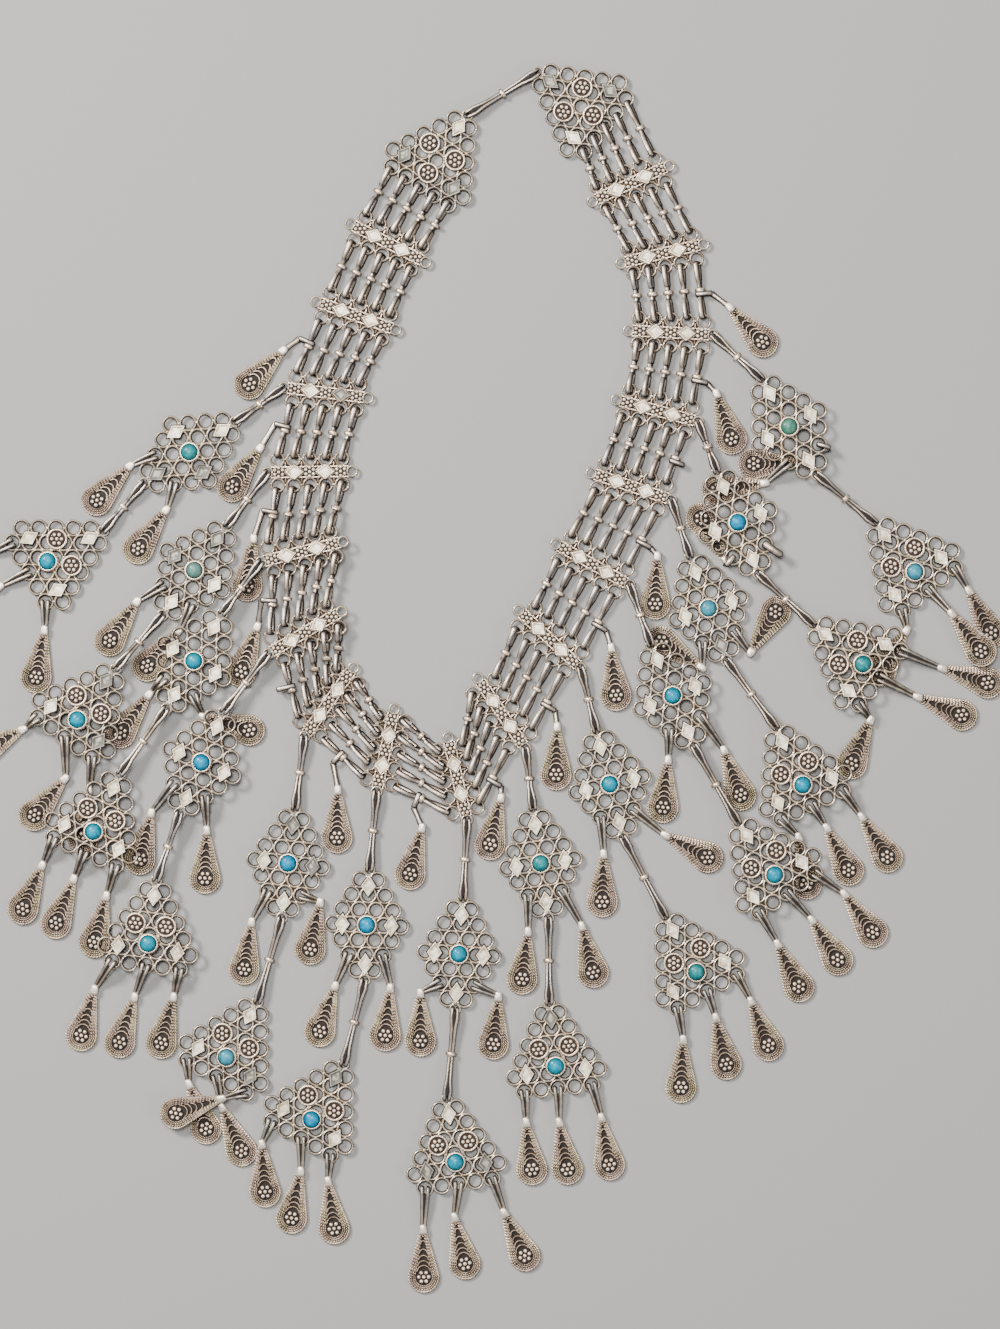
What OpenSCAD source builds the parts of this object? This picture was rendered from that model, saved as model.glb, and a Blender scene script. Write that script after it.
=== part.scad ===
// Filigree collar necklace with turquoises, laid out flat with its clasp closed.
// Millimetres, +Z up, underside at z = 0, +Y towards the clasp.

/* [Wire] */
// Thickness of the wire in the links
wire = 0.8; // [0.7:0.05:0.85]
// Width of a link's loop, across the link
link_w = 1.6; // [1.2:0.1:1.7]
// Radius of the knot at a link's waist
knot_r = 1.4; // [1.1:0.05:1.45]
// Length of that knot along the link
knot_l = 1.1; // [0.8:0.1:1.4]
// Height of the waist beside the knot
waist_h = 1.05; // [1.0:0.05:1.2]
// Reach of a band link from end wire to end wire, before its play
link_reach = 17.6; // [17:0.2:18.4]
// Thickness of the thinner wire in a drop's bail
bail_t = 0.65; // [0.5:0.05:0.65]
// Width of that bail
bail_w = 0.9; // [0.7:0.1:1.1]

/* [Lattice] */
// Thickness of the ring lattice in plaques and bars
lattice_t = 0.9; // [0.7:0.1:1.0]
// Free height between the lattice and a wire that passes over or under it
play = 0.2; // [0.12:0.02:0.24]
// Distance between neighbouring rings in a plaque's row
pitch = 5.4; // [5.3:0.05:5.5]
// Distance between a plaque's rows
row_step = 4.8; // [4.7:0.05:4.9]
// Outer radius of a plaque's ring
ring_out = 2.8; // [2.75:0.05:2.9]
// Inner radius of a plaque's ring
ring_in = 2.2; // [2.1:0.05:2.25]
// Outer radius of the small eye that a pendant link passes through
eye_out = 1.9; // [1.8:0.05:2.0]
// Inner radius of that eye
eye_in = 1.35; // [1.3:0.05:1.4]
// Distance from an end row to the eye beyond it
eye_off = 3.2; // [3.1:0.1:3.4]

/* [Bar] */
// Distance between neighbouring rings along a bar
bar_pitch = 5.15; // [5.05:0.05:5.25]
// Distance from a bar's middle row to either row of rings
bar_row = 4.1; // [4.07:0.01:4.2]
// Outer radius of a bar's ring
bar_ring_out = 2.4; // [2.3:0.05:2.45]
// Inner radius of a bar's ring
bar_ring_in = 1.85; // [1.8:0.05:1.85]
// Distance between the ornaments of the middle row
ornament_step = 4.95; // [4.9:0.05:5.0]
// Distance from a bar's middle to the eye at either end
bar_eye = 13.5; // [13.5:0.1:13.7]

/* [Ornaments] */
// Radius of a granule rosette's disc
rosette_r = 2.2; // [2.1:0.05:2.2]
// Length of a lozenge on a bar
lozenge_l = 5.8; // [5.8:0.1:6]
// Width of a lozenge on a bar
lozenge_w = 4.2; // [3.8:0.1:4.2]
// Length of a lozenge on a plaque
plaque_lozenge_l = 6.4; // [6:0.1:6.4]
// Width of a lozenge on a plaque
plaque_lozenge_w = 4.4; // [4:0.1:4.6]
// Height of the ornaments above the lattice
ornament_h = 0.5; // [0.3:0.1:0.7]
// Radius of the medallion round a rosette on a triangle plaque
medallion_r = 3.35; // [3.2:0.05:3.4]

/* [Stone] */
// Radius of a turquoise
stone_r = 2.4; // [2.2:0.05:2.4]
// Outer radius of its collet
collet_r = 3.0; // [2.95:0.05:3.1]
// Height of the collet's wall above the lattice
collet_h = 1.3; // [1:0.1:1.5]
// Height of the stone's dome above its own edge
dome_h = 1.1; // [0.8:0.1:1.4]

/* [Drop] */
// Length of a drop from the middle of its cap to its round end
drop_l = 20.4; // [19.6:0.2:20.4]
// Radius of the round end
drop_r = 4.8; // [4.5:0.1:4.8]
// Thickness of the drop's floor
drop_floor = 0.6; // [0.5:0.1:0.8]
// Height of its rim
drop_rim_h = 1.2; // [1.0:0.1:1.3]
// Width of its rim
drop_rim_w = 1.1; // [0.9:0.1:1.2]
// Size of the square cap
cap_w = 2.2; // [2:0.1:2.4]
// Width of the drop where it leaves the cap
tip_w = 1.6; // [1.2:0.1:1.8]

/* [Lay-out] */
// Millimetres for one step of the plan that the pieces are laid out on
plan_step = 0.32; // [0.32:0.001:0.322]
// Rise of a plaque or bar that lies over a drop
over = 2.2; // [2.2:0.1:2.4]

/* [Hidden] */
$fn = 32;

// The plan counts in steps, x to the right and y away from the clasp; this is its middle.
plan_mid = [467.42, 677.79];

// Bars, from the left end of the band round to the right end.
// Columns: plan x, plan y, turn of the outward end from +X, rise.
BARS = [
  [388, 243.5, 153, 0],
  [356, 316, 160.5, 0],
  [326, 393, 173, 0],
  [310, 472, 181, 0],
  [302.5, 552, 194, over],
  [305.5, 632.5, 210, over],
  [329, 702, 234.5, 0],
  [385.5, 750, 258, 0],
  [457.5, 778.5, 283, 0],
  [501.5, 713, 304, 0],
  [549.5, 639, 317, 0],
  [592.5, 564.5, 331, 0],
  [631, 486.5, 341.5, 0],
  [657, 411, 345, 0],
  [670.5, 333, 357, 0],
  [662, 254, 373, 0],
  [630.5, 184, 385, 0]
];

// The two end plaques. Columns: plan x, plan y, turn of the axis from tip to base, rise.
ENDS = [
  [432, 168, 236, 0],
  [587.5, 112, 322, 0]
];

// Diamond plaques, one for each pendant chain from left to right, placed by their turquoise.
// Columns: plan x, plan y, turn of the axis away from the band, rise.
DIAMONDS = [
  [190, 452.5, -146, 0],
  [195, 570.5, -126, 0],
  [195, 661, -120.5, over],
  [202.5, 762, -113.5, over],
  [288.5, 863, -97, 0],
  [367, 924.5, -92.5, 0],
  [459, 953.5, -94, 0],
  [540.5, 863, -82, 0],
  [609.5, 784, -76, 0],
  [672, 695.5, -67, over],
  [708, 608.5, -70.5, 0],
  [737, 523, -68, over],
  [788, 427.5, -60, over]
];

// Triangle plaques, the same way. Columns: plan x, plan y, turn of the axis, rise.
TRIANGLES = [
  [48.5, 561.5, -151, 0],
  [79, 719.5, -126.5, over],
  [95, 831, -114.5, over],
  [149.5, 942.5, -97, over],
  [227, 1056.5, -119, 0],
  [312, 1118.5, -120, 0],
  [455.5, 1161, -82, 0],
  [555.5, 1065.5, -84, 0],
  [696, 971.5, -60.5, 0],
  [773.5, 874, -55, over],
  [801.5, 784.5, -65, over],
  [861.5, 664, -38.5, over],
  [914, 572, -51, 0]
];

// Drops of the diamond plaques. Columns: chain, side, plan x and y of the cap, turn of the drop,
// rise.
DIAMOND_DROPS = [
  [1, -1, 131, 465.5, -134, 0], [1, 1, 167, 509.5, -126, 0],
  [2, -1, 138, 601, -125, 0], [2, 1, 180, 630, -132, 0],
  [3, -1, 150, 694, -127, 0], [3, 1, 203, 716, -17, 0],
  [4, -1, 152, 812, -104, 0], [4, 1, 207, 829.5, -92, 0],
  [5, -1, 252, 921, -99, 0], [5, 1, 320.5, 901.5, -102, 0],
  [6, -1, 335.5, 985, -108.5, 0], [6, 1, 390.5, 987, -96, 0],
  [7, -1, 420.5, 992, -90, 0], [7, 1, 498.5, 995.5, -96, 0],
  [8, -1, 528, 930.5, -97, 0], [8, 1, 581.5, 925, -76, 0],
  [9, -1, 603.5, 853, -91.5, 0], [9, 1, 664.5, 834.5, -28, 0],
  [10, -1, 668, 759, -96, 0], [10, 1, 723.5, 749.5, -69.5, 0],
  [11, -1, 702, 668, 147, 0], [11, 1, 750, 653, 58.5, 0],
  [13, -1, 765, 483, 188, 0]
];

// Drops of the triangle plaques, in the same columns.
TRIANGLE_DROPS = [
  [1, -1, -13, 556, -152, 0], [1, 0, 1, 586, -143, 0],
  [1, 1, 45, 629.5, -100, 0],
  [2, -1, 24, 729, -151, 0], [2, 0, 66, 778, -130, 0],
  [2, 1, 89.5, 790, -97, 0],
  [3, -1, 43, 864.5, -114, 0], [3, 0, 74.5, 878, -112, 0],
  [3, 1, 107, 895, -104.5, 0],
  [4, -1, 95, 988.5, -106, 0], [4, 0, 135, 996, -108, 0],
  [4, 1, 174, 996, -105, 0],
  [5, -1, 189, 1083, -69, 0], [5, 0, 222, 1106, -66, 0],
  [5, 1, 223, 1097, -162, 2.8],
  [6, -1, 262, 1143, -86, 0], [6, 0, 301, 1170, -101, 0],
  [6, 1, 328, 1180, -82.5, 0],
  [7, -1, 423, 1228, -89, 0], [7, 0, 454.5, 1216, -77.5, 0],
  [7, 1, 504, 1211.5, -64.5, 0],
  [8, -1, 526, 1121, -83, 0], [8, 0, 559, 1121, -80, 0],
  [8, 1, 601, 1116.5, -80, 0],
  [9, -1, 683, 1038.5, -92.5, 0], [9, 0, 715.5, 1016.5, -77.5, 0],
  [9, 1, 750.5, 1000, -68.5, 0],
  [10, -1, 777, 943, -63.5, 0], [10, 0, 811, 919, -57, 0],
  [10, 1, 843.5, 893, -53.5, 0],
  [11, -1, 798, 836, -80, 0], [11, 0, 826, 827, -62.5, 0],
  [11, 1, 861, 816, -57.5, 0],
  [12, -1, 870.5, 719, -113, 0], [12, 0, 916.5, 696.5, -22.5, 0],
  [12, 1, 941, 668, -18, 0],
  [13, -1, 906.5, 630, -122, 0], [13, 0, 950, 613, -52, 2.0],
  [13, 1, 968, 590, -62, 0]
];

// Drops turned back under their diamond plaque, on a loop round its rim.
// Columns: chain, side, plan x and y of the cap, turn of the drop, turn of the loop.
TURNED_DROPS = [[12, -1, 725.5, 560.5, 120, -129], [13, 1, 802, 463, 181, -15]];

// A loop of a diamond plaque that has lost its drop. Columns: chain, side, turn, reach.
BARE_BAILS = [[12, 1, -34, 7.3]];

// Drops on the band. Columns: cell (1 is left of the first bar), plan x and y of the cap, turn.
BAND_DROPS = [
  [3, 284, 350, -135], [4, 261, 447.5, -126], [5, 254, 538, -98], [6, 258, 626, -110],
  [8, 338, 789, -91], [9, 422, 827, -104], [10, 501, 797, -103],
  [11, 557, 726, -91], [12, 611, 647, -84], [13, 657.2, 555.5, -92.5],
  [15, 716, 393, -71.5], [16, 729, 307, -46.5]
];

// Cells whose side loop has lost its drop. Columns: cell, reach of the loop.
BARE_LOOPS = [[7, 6.4], [14, 5.2]];

// Heights above the floor, for a piece that doesn't rise.
lattice_z = wire + play;
lattice_top = lattice_z + lattice_t;
link_h = lattice_top + play + wire;
mid_z = link_h / 2;

cells = len(BARS) + 1;
mid_cell = cells / 2;
rings_across = 5;
stone_row = 3.55;
drop_row = 2;
DIAMOND_ROWS = [2, 3, 4, 5, 4, 3, 2];
TRIANGLE_ROWS = [2, 3, 4, 5, 6, 5];
base_row = len(TRIANGLE_ROWS) - 1;
// Seats of the ornaments. Columns: rows from a plaque's first row, and pitches to the side.
DIAMOND_LOZENGES = [[0.4, 0], [5.6, 0], [3, -1.45], [3, 1.45]];
TRIANGLE_LOZENGES = [[0.35, 0], [3.9, -1.76], [3.9, 1.76]];
MEDALLIONS = [[2.3, -0.9], [2.3, 0.9]];
END_MEDALLION = [4, 0];
// How far one shape runs into the next that it is soldered to.
overlap = 0.3;
chamfer = 0.3;
// Gap round a stone.
stone_gap = 0.1;
// Most that a band link's end wire stands past the middle of its hole.
slack = 1.05;
// How far a pendant link's end wire stands past it.
snug = 0.4;
// How far a link's strands run level from the hole's middle before they close in.
level_run = 6.4;
// Plain neck on either side of a link's knot, and how far the loop stops short of it.
neck_run = 1.25;
crotch = 0.6;
// How far a bail's end wire stands behind the hole's middle, and a side loop's behind the waist.
bail_back = 0.7;
loop_back = 1.7;
// Reach of a loop round a plaque's rim.
rim_reach = 4.7;
// Reach of the side loop that carries a drop.
hang_reach = 5.6;
// Levels of the arm that holds a drop's cap, and its height where it leaves a loop.
arm_low = 0.5;
arm_high = 1.7;
arm_t = 0.8;

function on_plan(x, y) = [(x - plan_mid[0]) * plan_step, (plan_mid[1] - y) * plan_step];
function turned(p, a) = [p[0] * cos(a) - p[1] * sin(a), p[0] * sin(a) + p[1] * cos(a)];

// A point of a piece's own plane, on the floor plan.
function spot(row, p) = on_plan(row[0], row[1]) + turned(p, row[2]);

// Ring centres of a lattice whose rows hold the given counts, about its origin row.
function ring_x(row, origin) = (row - origin) * row_step;
function ring_y(count, i) = (i - (count - 1) / 2) * pitch;
function rings(counts, origin) = [
  for (row = [0:len(counts) - 1], i = [0:counts[row] - 1])
    [ring_x(row, origin), ring_y(counts[row], i)]
];

// The outline through the outermost ring centres.
function lattice_edge(counts, origin) = concat(
  [for (row = [0:len(counts) - 1]) [ring_x(row, origin), ring_y(counts[row], 0)]],
  [for (row = [len(counts) - 1:-1:0]) [ring_x(row, origin), -ring_y(counts[row], 0)]]
);

module placed(row) {
  p = on_plan(row[0], row[1]);
  translate([p[0], p[1], row[3]]) rotate([0, 0, row[2]]) children();
}

module lozenge(l, w) {
  polygon([[-l / 2, 0], [0, -w / 2], [l / 2, 0], [0, w / 2]]);
}

// Raised ornaments start a little inside the lattice that carries them.
module raised(h) {
  translate([0, 0, lattice_top - overlap]) linear_extrude(height = h + overlap) children();
}

module lattice(counts, origin, eyes) {
  edge = lattice_edge(counts, origin);
  middle = [for (row = [0, len(counts) - 1], i = [1:1:counts[row] - 2])
    [ring_x(row, origin), ring_y(counts[row], i)]];
  translate([0, 0, lattice_z]) linear_extrude(height = lattice_t) {
    difference() {
      union() {
        polygon(edge);
        for (p = concat(edge, middle)) translate(p) circle(r = ring_out);
        for (p = eyes) translate(p) circle(r = eye_out);
      }
      for (p = rings(counts, origin)) translate(p) circle(r = ring_in);
      for (p = eyes) translate(p) circle(r = eye_in);
    }
    circle(r = collet_r);
  }
}

// The turquoise's collet, open at the top.
module collet() {
  difference() {
    raised(collet_h) circle(r = collet_r);
    translate([0, 0, lattice_top]) cylinder(r = stone_r + stone_gap, h = collet_h + overlap);
  }
}

function seat(at, origin) = [ring_x(at[0], origin), at[1] * pitch];

module lozenges(seats, origin) {
  raised(ornament_h) for (at = seats) translate(seat(at, origin))
    lozenge(plaque_lozenge_l, plaque_lozenge_w);
}

module medallions(seats, origin) {
  raised(ornament_h) for (at = seats) translate(seat(at, origin)) circle(r = medallion_r);
}

diamond_origin = 3;
diamond_tip = ring_x(len(DIAMOND_ROWS) - 1, diamond_origin) + eye_off;
triangle_tip = ring_x(0, stone_row) - eye_off;

module diamond_plaque(i) {
  color("silver") placed(DIAMONDS[i]) {
    lattice(DIAMOND_ROWS, diamond_origin, [[-diamond_tip, 0], [diamond_tip, 0]]);
    collet();
    lozenges(DIAMOND_LOZENGES, diamond_origin);
  }
}

module triangle_plaque(i) {
  color("silver") placed(TRIANGLES[i]) {
    lattice(TRIANGLE_ROWS, stone_row, [[triangle_tip, 0]]);
    collet();
    lozenges(TRIANGLE_LOZENGES, stone_row);
    medallions(MEDALLIONS, stone_row);
  }
}

module end_plaque(i) {
  color("silver") placed(ENDS[i]) {
    lattice(TRIANGLE_ROWS, stone_row, [[triangle_tip, 0]]);
    lozenges(TRIANGLE_LOZENGES, stone_row);
    medallions(concat(MEDALLIONS, [END_MEDALLION]), stone_row);
  }
}

// A bar lies with its outward end along +X, its band running along +Y.
module bar(i) {
  reach = (rings_across - 1) / 2;
  centres = [for (k = [-reach:reach], side = [-1, 1]) [k * bar_pitch, side * bar_row]];
  eyes = [[-bar_eye, 0], [bar_eye, 0]];
  color("silver") placed(BARS[i]) {
    translate([0, 0, lattice_z]) linear_extrude(height = lattice_t) difference() {
      union() {
        for (p = centres) translate(p) circle(r = bar_ring_out);
        for (p = eyes) translate(p) circle(r = eye_out);
        bar_ornaments();
      }
      for (p = centres) translate(p) circle(r = bar_ring_in);
      for (p = eyes) translate(p) circle(r = eye_in);
    }
    raised(ornament_h) bar_ornaments();
  }
}

module bar_ornaments() {
  for (k = [-2, 0, 2]) translate([k * ornament_step, 0]) circle(r = rosette_r);
  for (k = [-1, 1]) translate([k * ornament_step, 0]) lozenge(lozenge_l, lozenge_w);
}

// Stands a profile drawn in (along, up) upright, from point p towards point q.
module upright(p, q, w) {
  translate([p[0], p[1], 0]) rotate([0, 0, atan2(q[1] - p[1], q[0] - p[0])])
    rotate([90, 0, 0]) translate([0, 0, -w / 2]) linear_extrude(height = w) children();
}

// How far a band link's end wires stand past the middles of holes that lie gap apart.
function overshoot(gap) = max(min((link_reach - gap) / 2, slack), -slack);

// A link's strands run level from its holes to its feet, and a slanting link leans between them.
neck = knot_l / 2 + neck_run;
function foot_of(gap) = max(gap / 2 - level_run, neck + chamfer);
function lean_of(u, foot, za, zb) = za + (zb - za) * min(max((u + foot) / (2 * foot), 0), 1);

// A two-loop link through holes at p and q, whose rims rise by za and zb.
module link(p, q, za, zb, past) {
  gap = norm(q - p);
  half = gap / 2 + past + wire / 2;
  foot = foot_of(gap);
  lean = function(u, z) [u, z + lean_of(u, foot, za, zb)];
  top = [for (e = [[-half, link_h - chamfer], [chamfer - half, link_h], [-foot, link_h],
    [-neck, mid_z + waist_h / 2], [neck, mid_z + waist_h / 2], [foot, link_h],
    [half - chamfer, link_h], [half, link_h - chamfer]]) lean(e[0], e[1])];
  bottom = [for (e = [[half, chamfer], [half - chamfer, 0], [foot, 0],
    [neck, mid_z - waist_h / 2], [-neck, mid_z - waist_h / 2], [-foot, 0],
    [chamfer - half, 0], [-half, chamfer]]) lean(e[0], e[1])];
  eye = function(s) [for (e = [[half - wire, wire], [foot, wire], [neck + crotch, mid_z],
    [foot, link_h - wire], [half - wire, link_h - wire]]) lean(s * e[0], e[1])];
  middle = (p + q) / 2;
  upright(middle, q, link_w) difference() {
    polygon(concat(top, bottom));
    polygon(eye(-1));
    polygon(eye(1));
  }
  translate([middle[0], middle[1], mid_z + (za + zb) / 2])
    rotate([0, 0, atan2(q[1] - p[1], q[0] - p[0])]) rotate([0, 90, 0])
    cylinder(r = knot_r, h = knot_l, center = true);
}

// Ring k across the band, counted outward, at the start or the end of a cell.
function bar_ring(i, k, side) = spot(BARS[i], [k * bar_pitch, side * bar_row]);
function cell_from(c, k) = c == 1
  ? spot(ENDS[0], [ring_x(base_row, stone_row), -k * pitch])
  : bar_ring(c - 2, k, 1);
function cell_to(c, k) = c == cells
  ? spot(ENDS[1], [ring_x(base_row, stone_row), k * pitch])
  : bar_ring(c - 1, k, -1);
function rise_from(c) = c == 1 ? ENDS[0][3] : BARS[c - 2][3];
function rise_to(c) = c == cells ? ENDS[1][3] : BARS[c - 1][3];

module band_link(c, k) {
  p = cell_from(c, k);
  q = cell_to(c, k);
  link(p, q, rise_from(c), rise_to(c), overshoot(norm(q - p)));
}

module band_links(first, last) {
  reach = (rings_across - 1) / 2;
  color("darkgray") for (c = [first:last], k = [-reach:reach]) band_link(c, k);
}

module clasp_link() {
  color("darkgray") link(spot(ENDS[0], [triangle_tip, 0]), spot(ENDS[1], [triangle_tip, 0]),
    ENDS[0][3], ENDS[1][3], snug);
}

module pendant_links() {
  first_bar = 2;
  color("darkgray") for (i = [0:len(DIAMONDS) - 1]) {
    link(spot(BARS[i + first_bar], [bar_eye, 0]), spot(DIAMONDS[i], [-diamond_tip, 0]),
      BARS[i + first_bar][3], DIAMONDS[i][3], snug);
    link(spot(DIAMONDS[i], [diamond_tip, 0]), spot(TRIANGLES[i], [triangle_tip, 0]),
      DIAMONDS[i][3], TRIANGLES[i][3], snug);
  }
}

// The waist of a cell's outermost link, just before its knot.
waist_off = knot_l / 2 + bail_w / 2 + overlap;
function waist(c) =
  let (p = cell_from(c, 2), q = cell_to(c, 2), d = (q - p) / norm(q - p))
    (p + q) / 2 - d * waist_off;
function waist_rise(c) =
  lean_of(-waist_off, foot_of(norm(cell_to(c, 2) - cell_from(c, 2))), rise_from(c), rise_to(c));
function outward(c) =
  let (p = cell_from(c, 2), q = cell_to(c, 2), d = (q - p) / norm(q - p)) [d[1], -d[0]];

// A plain upright loop that leaves p along d, after starting back behind it.
module loop(p, d, z, back, reach) {
  upright(p, p + d, bail_w) translate([-back, z]) difference() {
    square([reach, link_h]);
    translate([bail_t, bail_t]) square([reach - 2 * bail_t, link_h - 2 * bail_t]);
  }
}

// The same loop with an arm from its far end to the cap of a drop.
module looped_drop(p, d, z, back, reach, cap, turn) {
  from = p + d * (reach - back - bail_t / 2);
  far = norm(cap - from);
  loop(p, d, z, back, reach);
  upright(from, cap, bail_w) polygon([[0, z], [far, arm_low], [far, arm_high], [0, z + arm_t]]);
  drop_at(cap, turn, 0);
}

function drop_hole(row) = spot(DIAMONDS[row[0] - 1], [drop_row * row_step, row[1] * pitch]);
function heading(turn) = [cos(turn), sin(turn)];

// The loops whose drop is lost.
module side_loops() {
  color("darkgray") {
    for (row = BARE_LOOPS) loop(waist(row[0]), outward(row[0]), waist_rise(row[0]), loop_back, row[1]);
    for (row = BARE_BAILS)
      loop(drop_hole(row), heading(row[2]), DIAMONDS[row[0] - 1][3], bail_back, row[3]);
  }
}

// A bail from the hole at p, whose piece rises by za, to the cap at q, which rises by zb.
module bail(p, q, za, zb) {
  far = norm(q - p);
  slope = min(ring_out + crotch, far - cap_w - chamfer);
  fork = far - cap_w / 2 - chamfer;
  fork_z = zb + (arm_low + arm_high) / 2 + (za - zb) * (far - fork) / far;
  upright(p, q, bail_w) difference() {
    polygon([[-bail_back, za + chamfer], [chamfer - bail_back, za], [slope, za], [far, zb + arm_low],
      [far, zb + arm_high], [slope, za + link_h], [chamfer - bail_back, za + link_h],
      [-bail_back, za + link_h - chamfer]]);
    polygon([[bail_t - bail_back, za + bail_t], [slope, za + bail_t], [fork, fork_z],
      [slope, za + link_h - bail_t], [bail_t - bail_back, za + link_h - bail_t]]);
  }
}

// The drop's outline with its cap at the origin and its round end along +X. The straight flanks
// meet the round end a little before its widest point.
flank_turn = 104;
function tip_at(inset) = cap_w / 2 + 3 * inset;
module drop_outline(inset) {
  r = drop_r - inset;
  flank = [drop_l - drop_r + r * cos(flank_turn), r * sin(flank_turn)];
  translate([drop_l - drop_r, 0]) circle(r = r);
  polygon([[tip_at(inset), -tip_w / 2], [flank[0], -flank[1]], flank, [tip_at(inset), tip_w / 2]]);
}

module drop_body() {
  linear_extrude(height = drop_floor) drop_outline(0);
  linear_extrude(height = drop_rim_h) difference() {
    drop_outline(0);
    drop_outline(drop_rim_w);
  }
  translate([drop_l - drop_r, 0, 0]) cylinder(r = rosette_r, h = drop_rim_h);
  translate([-cap_w / 2, -cap_w / 2, 0]) cube([cap_w + overlap, cap_w, cap_w]);
}

module drop_at(cap, turn, rise) {
  translate([cap[0], cap[1], rise]) rotate([0, 0, turn]) drop_body();
}

// A drop hung from the given hole of a plaque that rises by za.
module hung_drop(row, hole, za) {
  cap = on_plan(row[2], row[3]);
  drop_at(cap, row[4], row[5]);
  bail(hole, cap, za, row[5]);
}

module diamond_drops(first, last) {
  color("tan") {
    for (row = DIAMOND_DROPS) if (row[0] >= first && row[0] <= last)
      hung_drop(row, drop_hole(row), DIAMONDS[row[0] - 1][3]);
    for (row = TURNED_DROPS) if (row[0] >= first && row[0] <= last)
      looped_drop(drop_hole(row), heading(row[5]), DIAMONDS[row[0] - 1][3], bail_back, rim_reach,
        on_plan(row[2], row[3]), row[4]);
  }
}

module triangle_drops(first, last) {
  color("tan") for (row = TRIANGLE_DROPS) if (row[0] >= first && row[0] <= last) {
    plaque = TRIANGLES[row[0] - 1];
    hung_drop(row, spot(plaque, [ring_x(base_row, stone_row), row[1] * 2 * pitch]), plaque[3]);
  }
}

// Drops on the side loop of a cell's outermost link.
module band_drops() {
  color("tan") for (row = BAND_DROPS)
    looped_drop(waist(row[0]), outward(row[0]), waist_rise(row[0]), loop_back, hang_reach,
      on_plan(row[1], row[2]), row[3]);
}

// A round cabochon, a tenth of a millimetre clear of its collet and seat.
module turquoise() {
  edge_h = collet_h - 0.3;
  ball_r = (stone_r * stone_r + dome_h * dome_h) / (2 * dome_h);
  translate([0, 0, lattice_top + 0.1]) {
    cylinder(r = stone_r, h = edge_h);
    intersection() {
      translate([0, 0, edge_h - 0.1]) cylinder(r = stone_r, h = dome_h + 0.2);
      translate([0, 0, edge_h + dome_h - ball_r]) sphere(r = ball_r);
    }
  }
}

module turquoises() {
  color("turquoise") for (row = concat(DIAMONDS, TRIANGLES)) placed(row) turquoise();
}

clasp_link();
end_plaque(0);  // end_plaque_left
end_plaque(1);  // end_plaque_right
bar(0);  // bar_left_1
bar(1);  // bar_left_2
bar(2);  // bar_left_3
bar(3);  // bar_left_4
bar(4);  // bar_left_5
bar(5);  // bar_left_6
bar(6);  // bar_left_7
bar(7);  // bar_left_8
bar(8);  // bar_middle
bar(9);  // bar_right_8
bar(10);  // bar_right_7
bar(11);  // bar_right_6
bar(12);  // bar_right_5
bar(13);  // bar_right_4
bar(14);  // bar_right_3
bar(15);  // bar_right_2
bar(16);  // bar_right_1
band_links(1, mid_cell);  // band_links_left
band_links(mid_cell + 1, cells);  // band_links_right
side_loops();
pendant_links();
diamond_plaque(0);  // diamond_plaque_1
diamond_plaque(1);  // diamond_plaque_2
diamond_plaque(2);  // diamond_plaque_3
diamond_plaque(3);  // diamond_plaque_4
diamond_plaque(4);  // diamond_plaque_5
diamond_plaque(5);  // diamond_plaque_6
diamond_plaque(6);  // diamond_plaque_7
diamond_plaque(7);  // diamond_plaque_8
diamond_plaque(8);  // diamond_plaque_9
diamond_plaque(9);  // diamond_plaque_10
diamond_plaque(10);  // diamond_plaque_11
diamond_plaque(11);  // diamond_plaque_12
diamond_plaque(12);  // diamond_plaque_13
triangle_plaque(0);  // triangle_plaque_1
triangle_plaque(1);  // triangle_plaque_2
triangle_plaque(2);  // triangle_plaque_3
triangle_plaque(3);  // triangle_plaque_4
triangle_plaque(4);  // triangle_plaque_5
triangle_plaque(5);  // triangle_plaque_6
triangle_plaque(6);  // triangle_plaque_7
triangle_plaque(7);  // triangle_plaque_8
triangle_plaque(8);  // triangle_plaque_9
triangle_plaque(9);  // triangle_plaque_10
triangle_plaque(10);  // triangle_plaque_11
triangle_plaque(11);  // triangle_plaque_12
triangle_plaque(12);  // triangle_plaque_13
turquoises();
band_drops();
diamond_drops(1, 7);  // diamond_drops_left
diamond_drops(8, 13);  // diamond_drops_right
triangle_drops(1, 7);  // triangle_drops_left
triangle_drops(8, 13);  // triangle_drops_right
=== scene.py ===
import math

import bpy
import numpy as np
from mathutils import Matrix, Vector


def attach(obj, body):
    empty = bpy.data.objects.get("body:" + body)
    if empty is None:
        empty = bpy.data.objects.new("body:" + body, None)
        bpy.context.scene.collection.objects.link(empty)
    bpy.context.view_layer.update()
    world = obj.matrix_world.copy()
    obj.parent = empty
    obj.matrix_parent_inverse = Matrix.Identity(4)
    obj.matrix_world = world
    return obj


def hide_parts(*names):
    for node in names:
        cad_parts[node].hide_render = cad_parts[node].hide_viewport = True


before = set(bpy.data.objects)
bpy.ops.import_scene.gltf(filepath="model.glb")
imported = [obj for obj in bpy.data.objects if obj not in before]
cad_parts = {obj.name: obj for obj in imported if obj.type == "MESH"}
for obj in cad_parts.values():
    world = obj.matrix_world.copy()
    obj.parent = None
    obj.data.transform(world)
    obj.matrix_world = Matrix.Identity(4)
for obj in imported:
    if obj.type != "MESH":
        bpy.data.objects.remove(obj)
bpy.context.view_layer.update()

MM = 0.001
UP = np.array([0.0, 0.0, 1.0])

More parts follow.
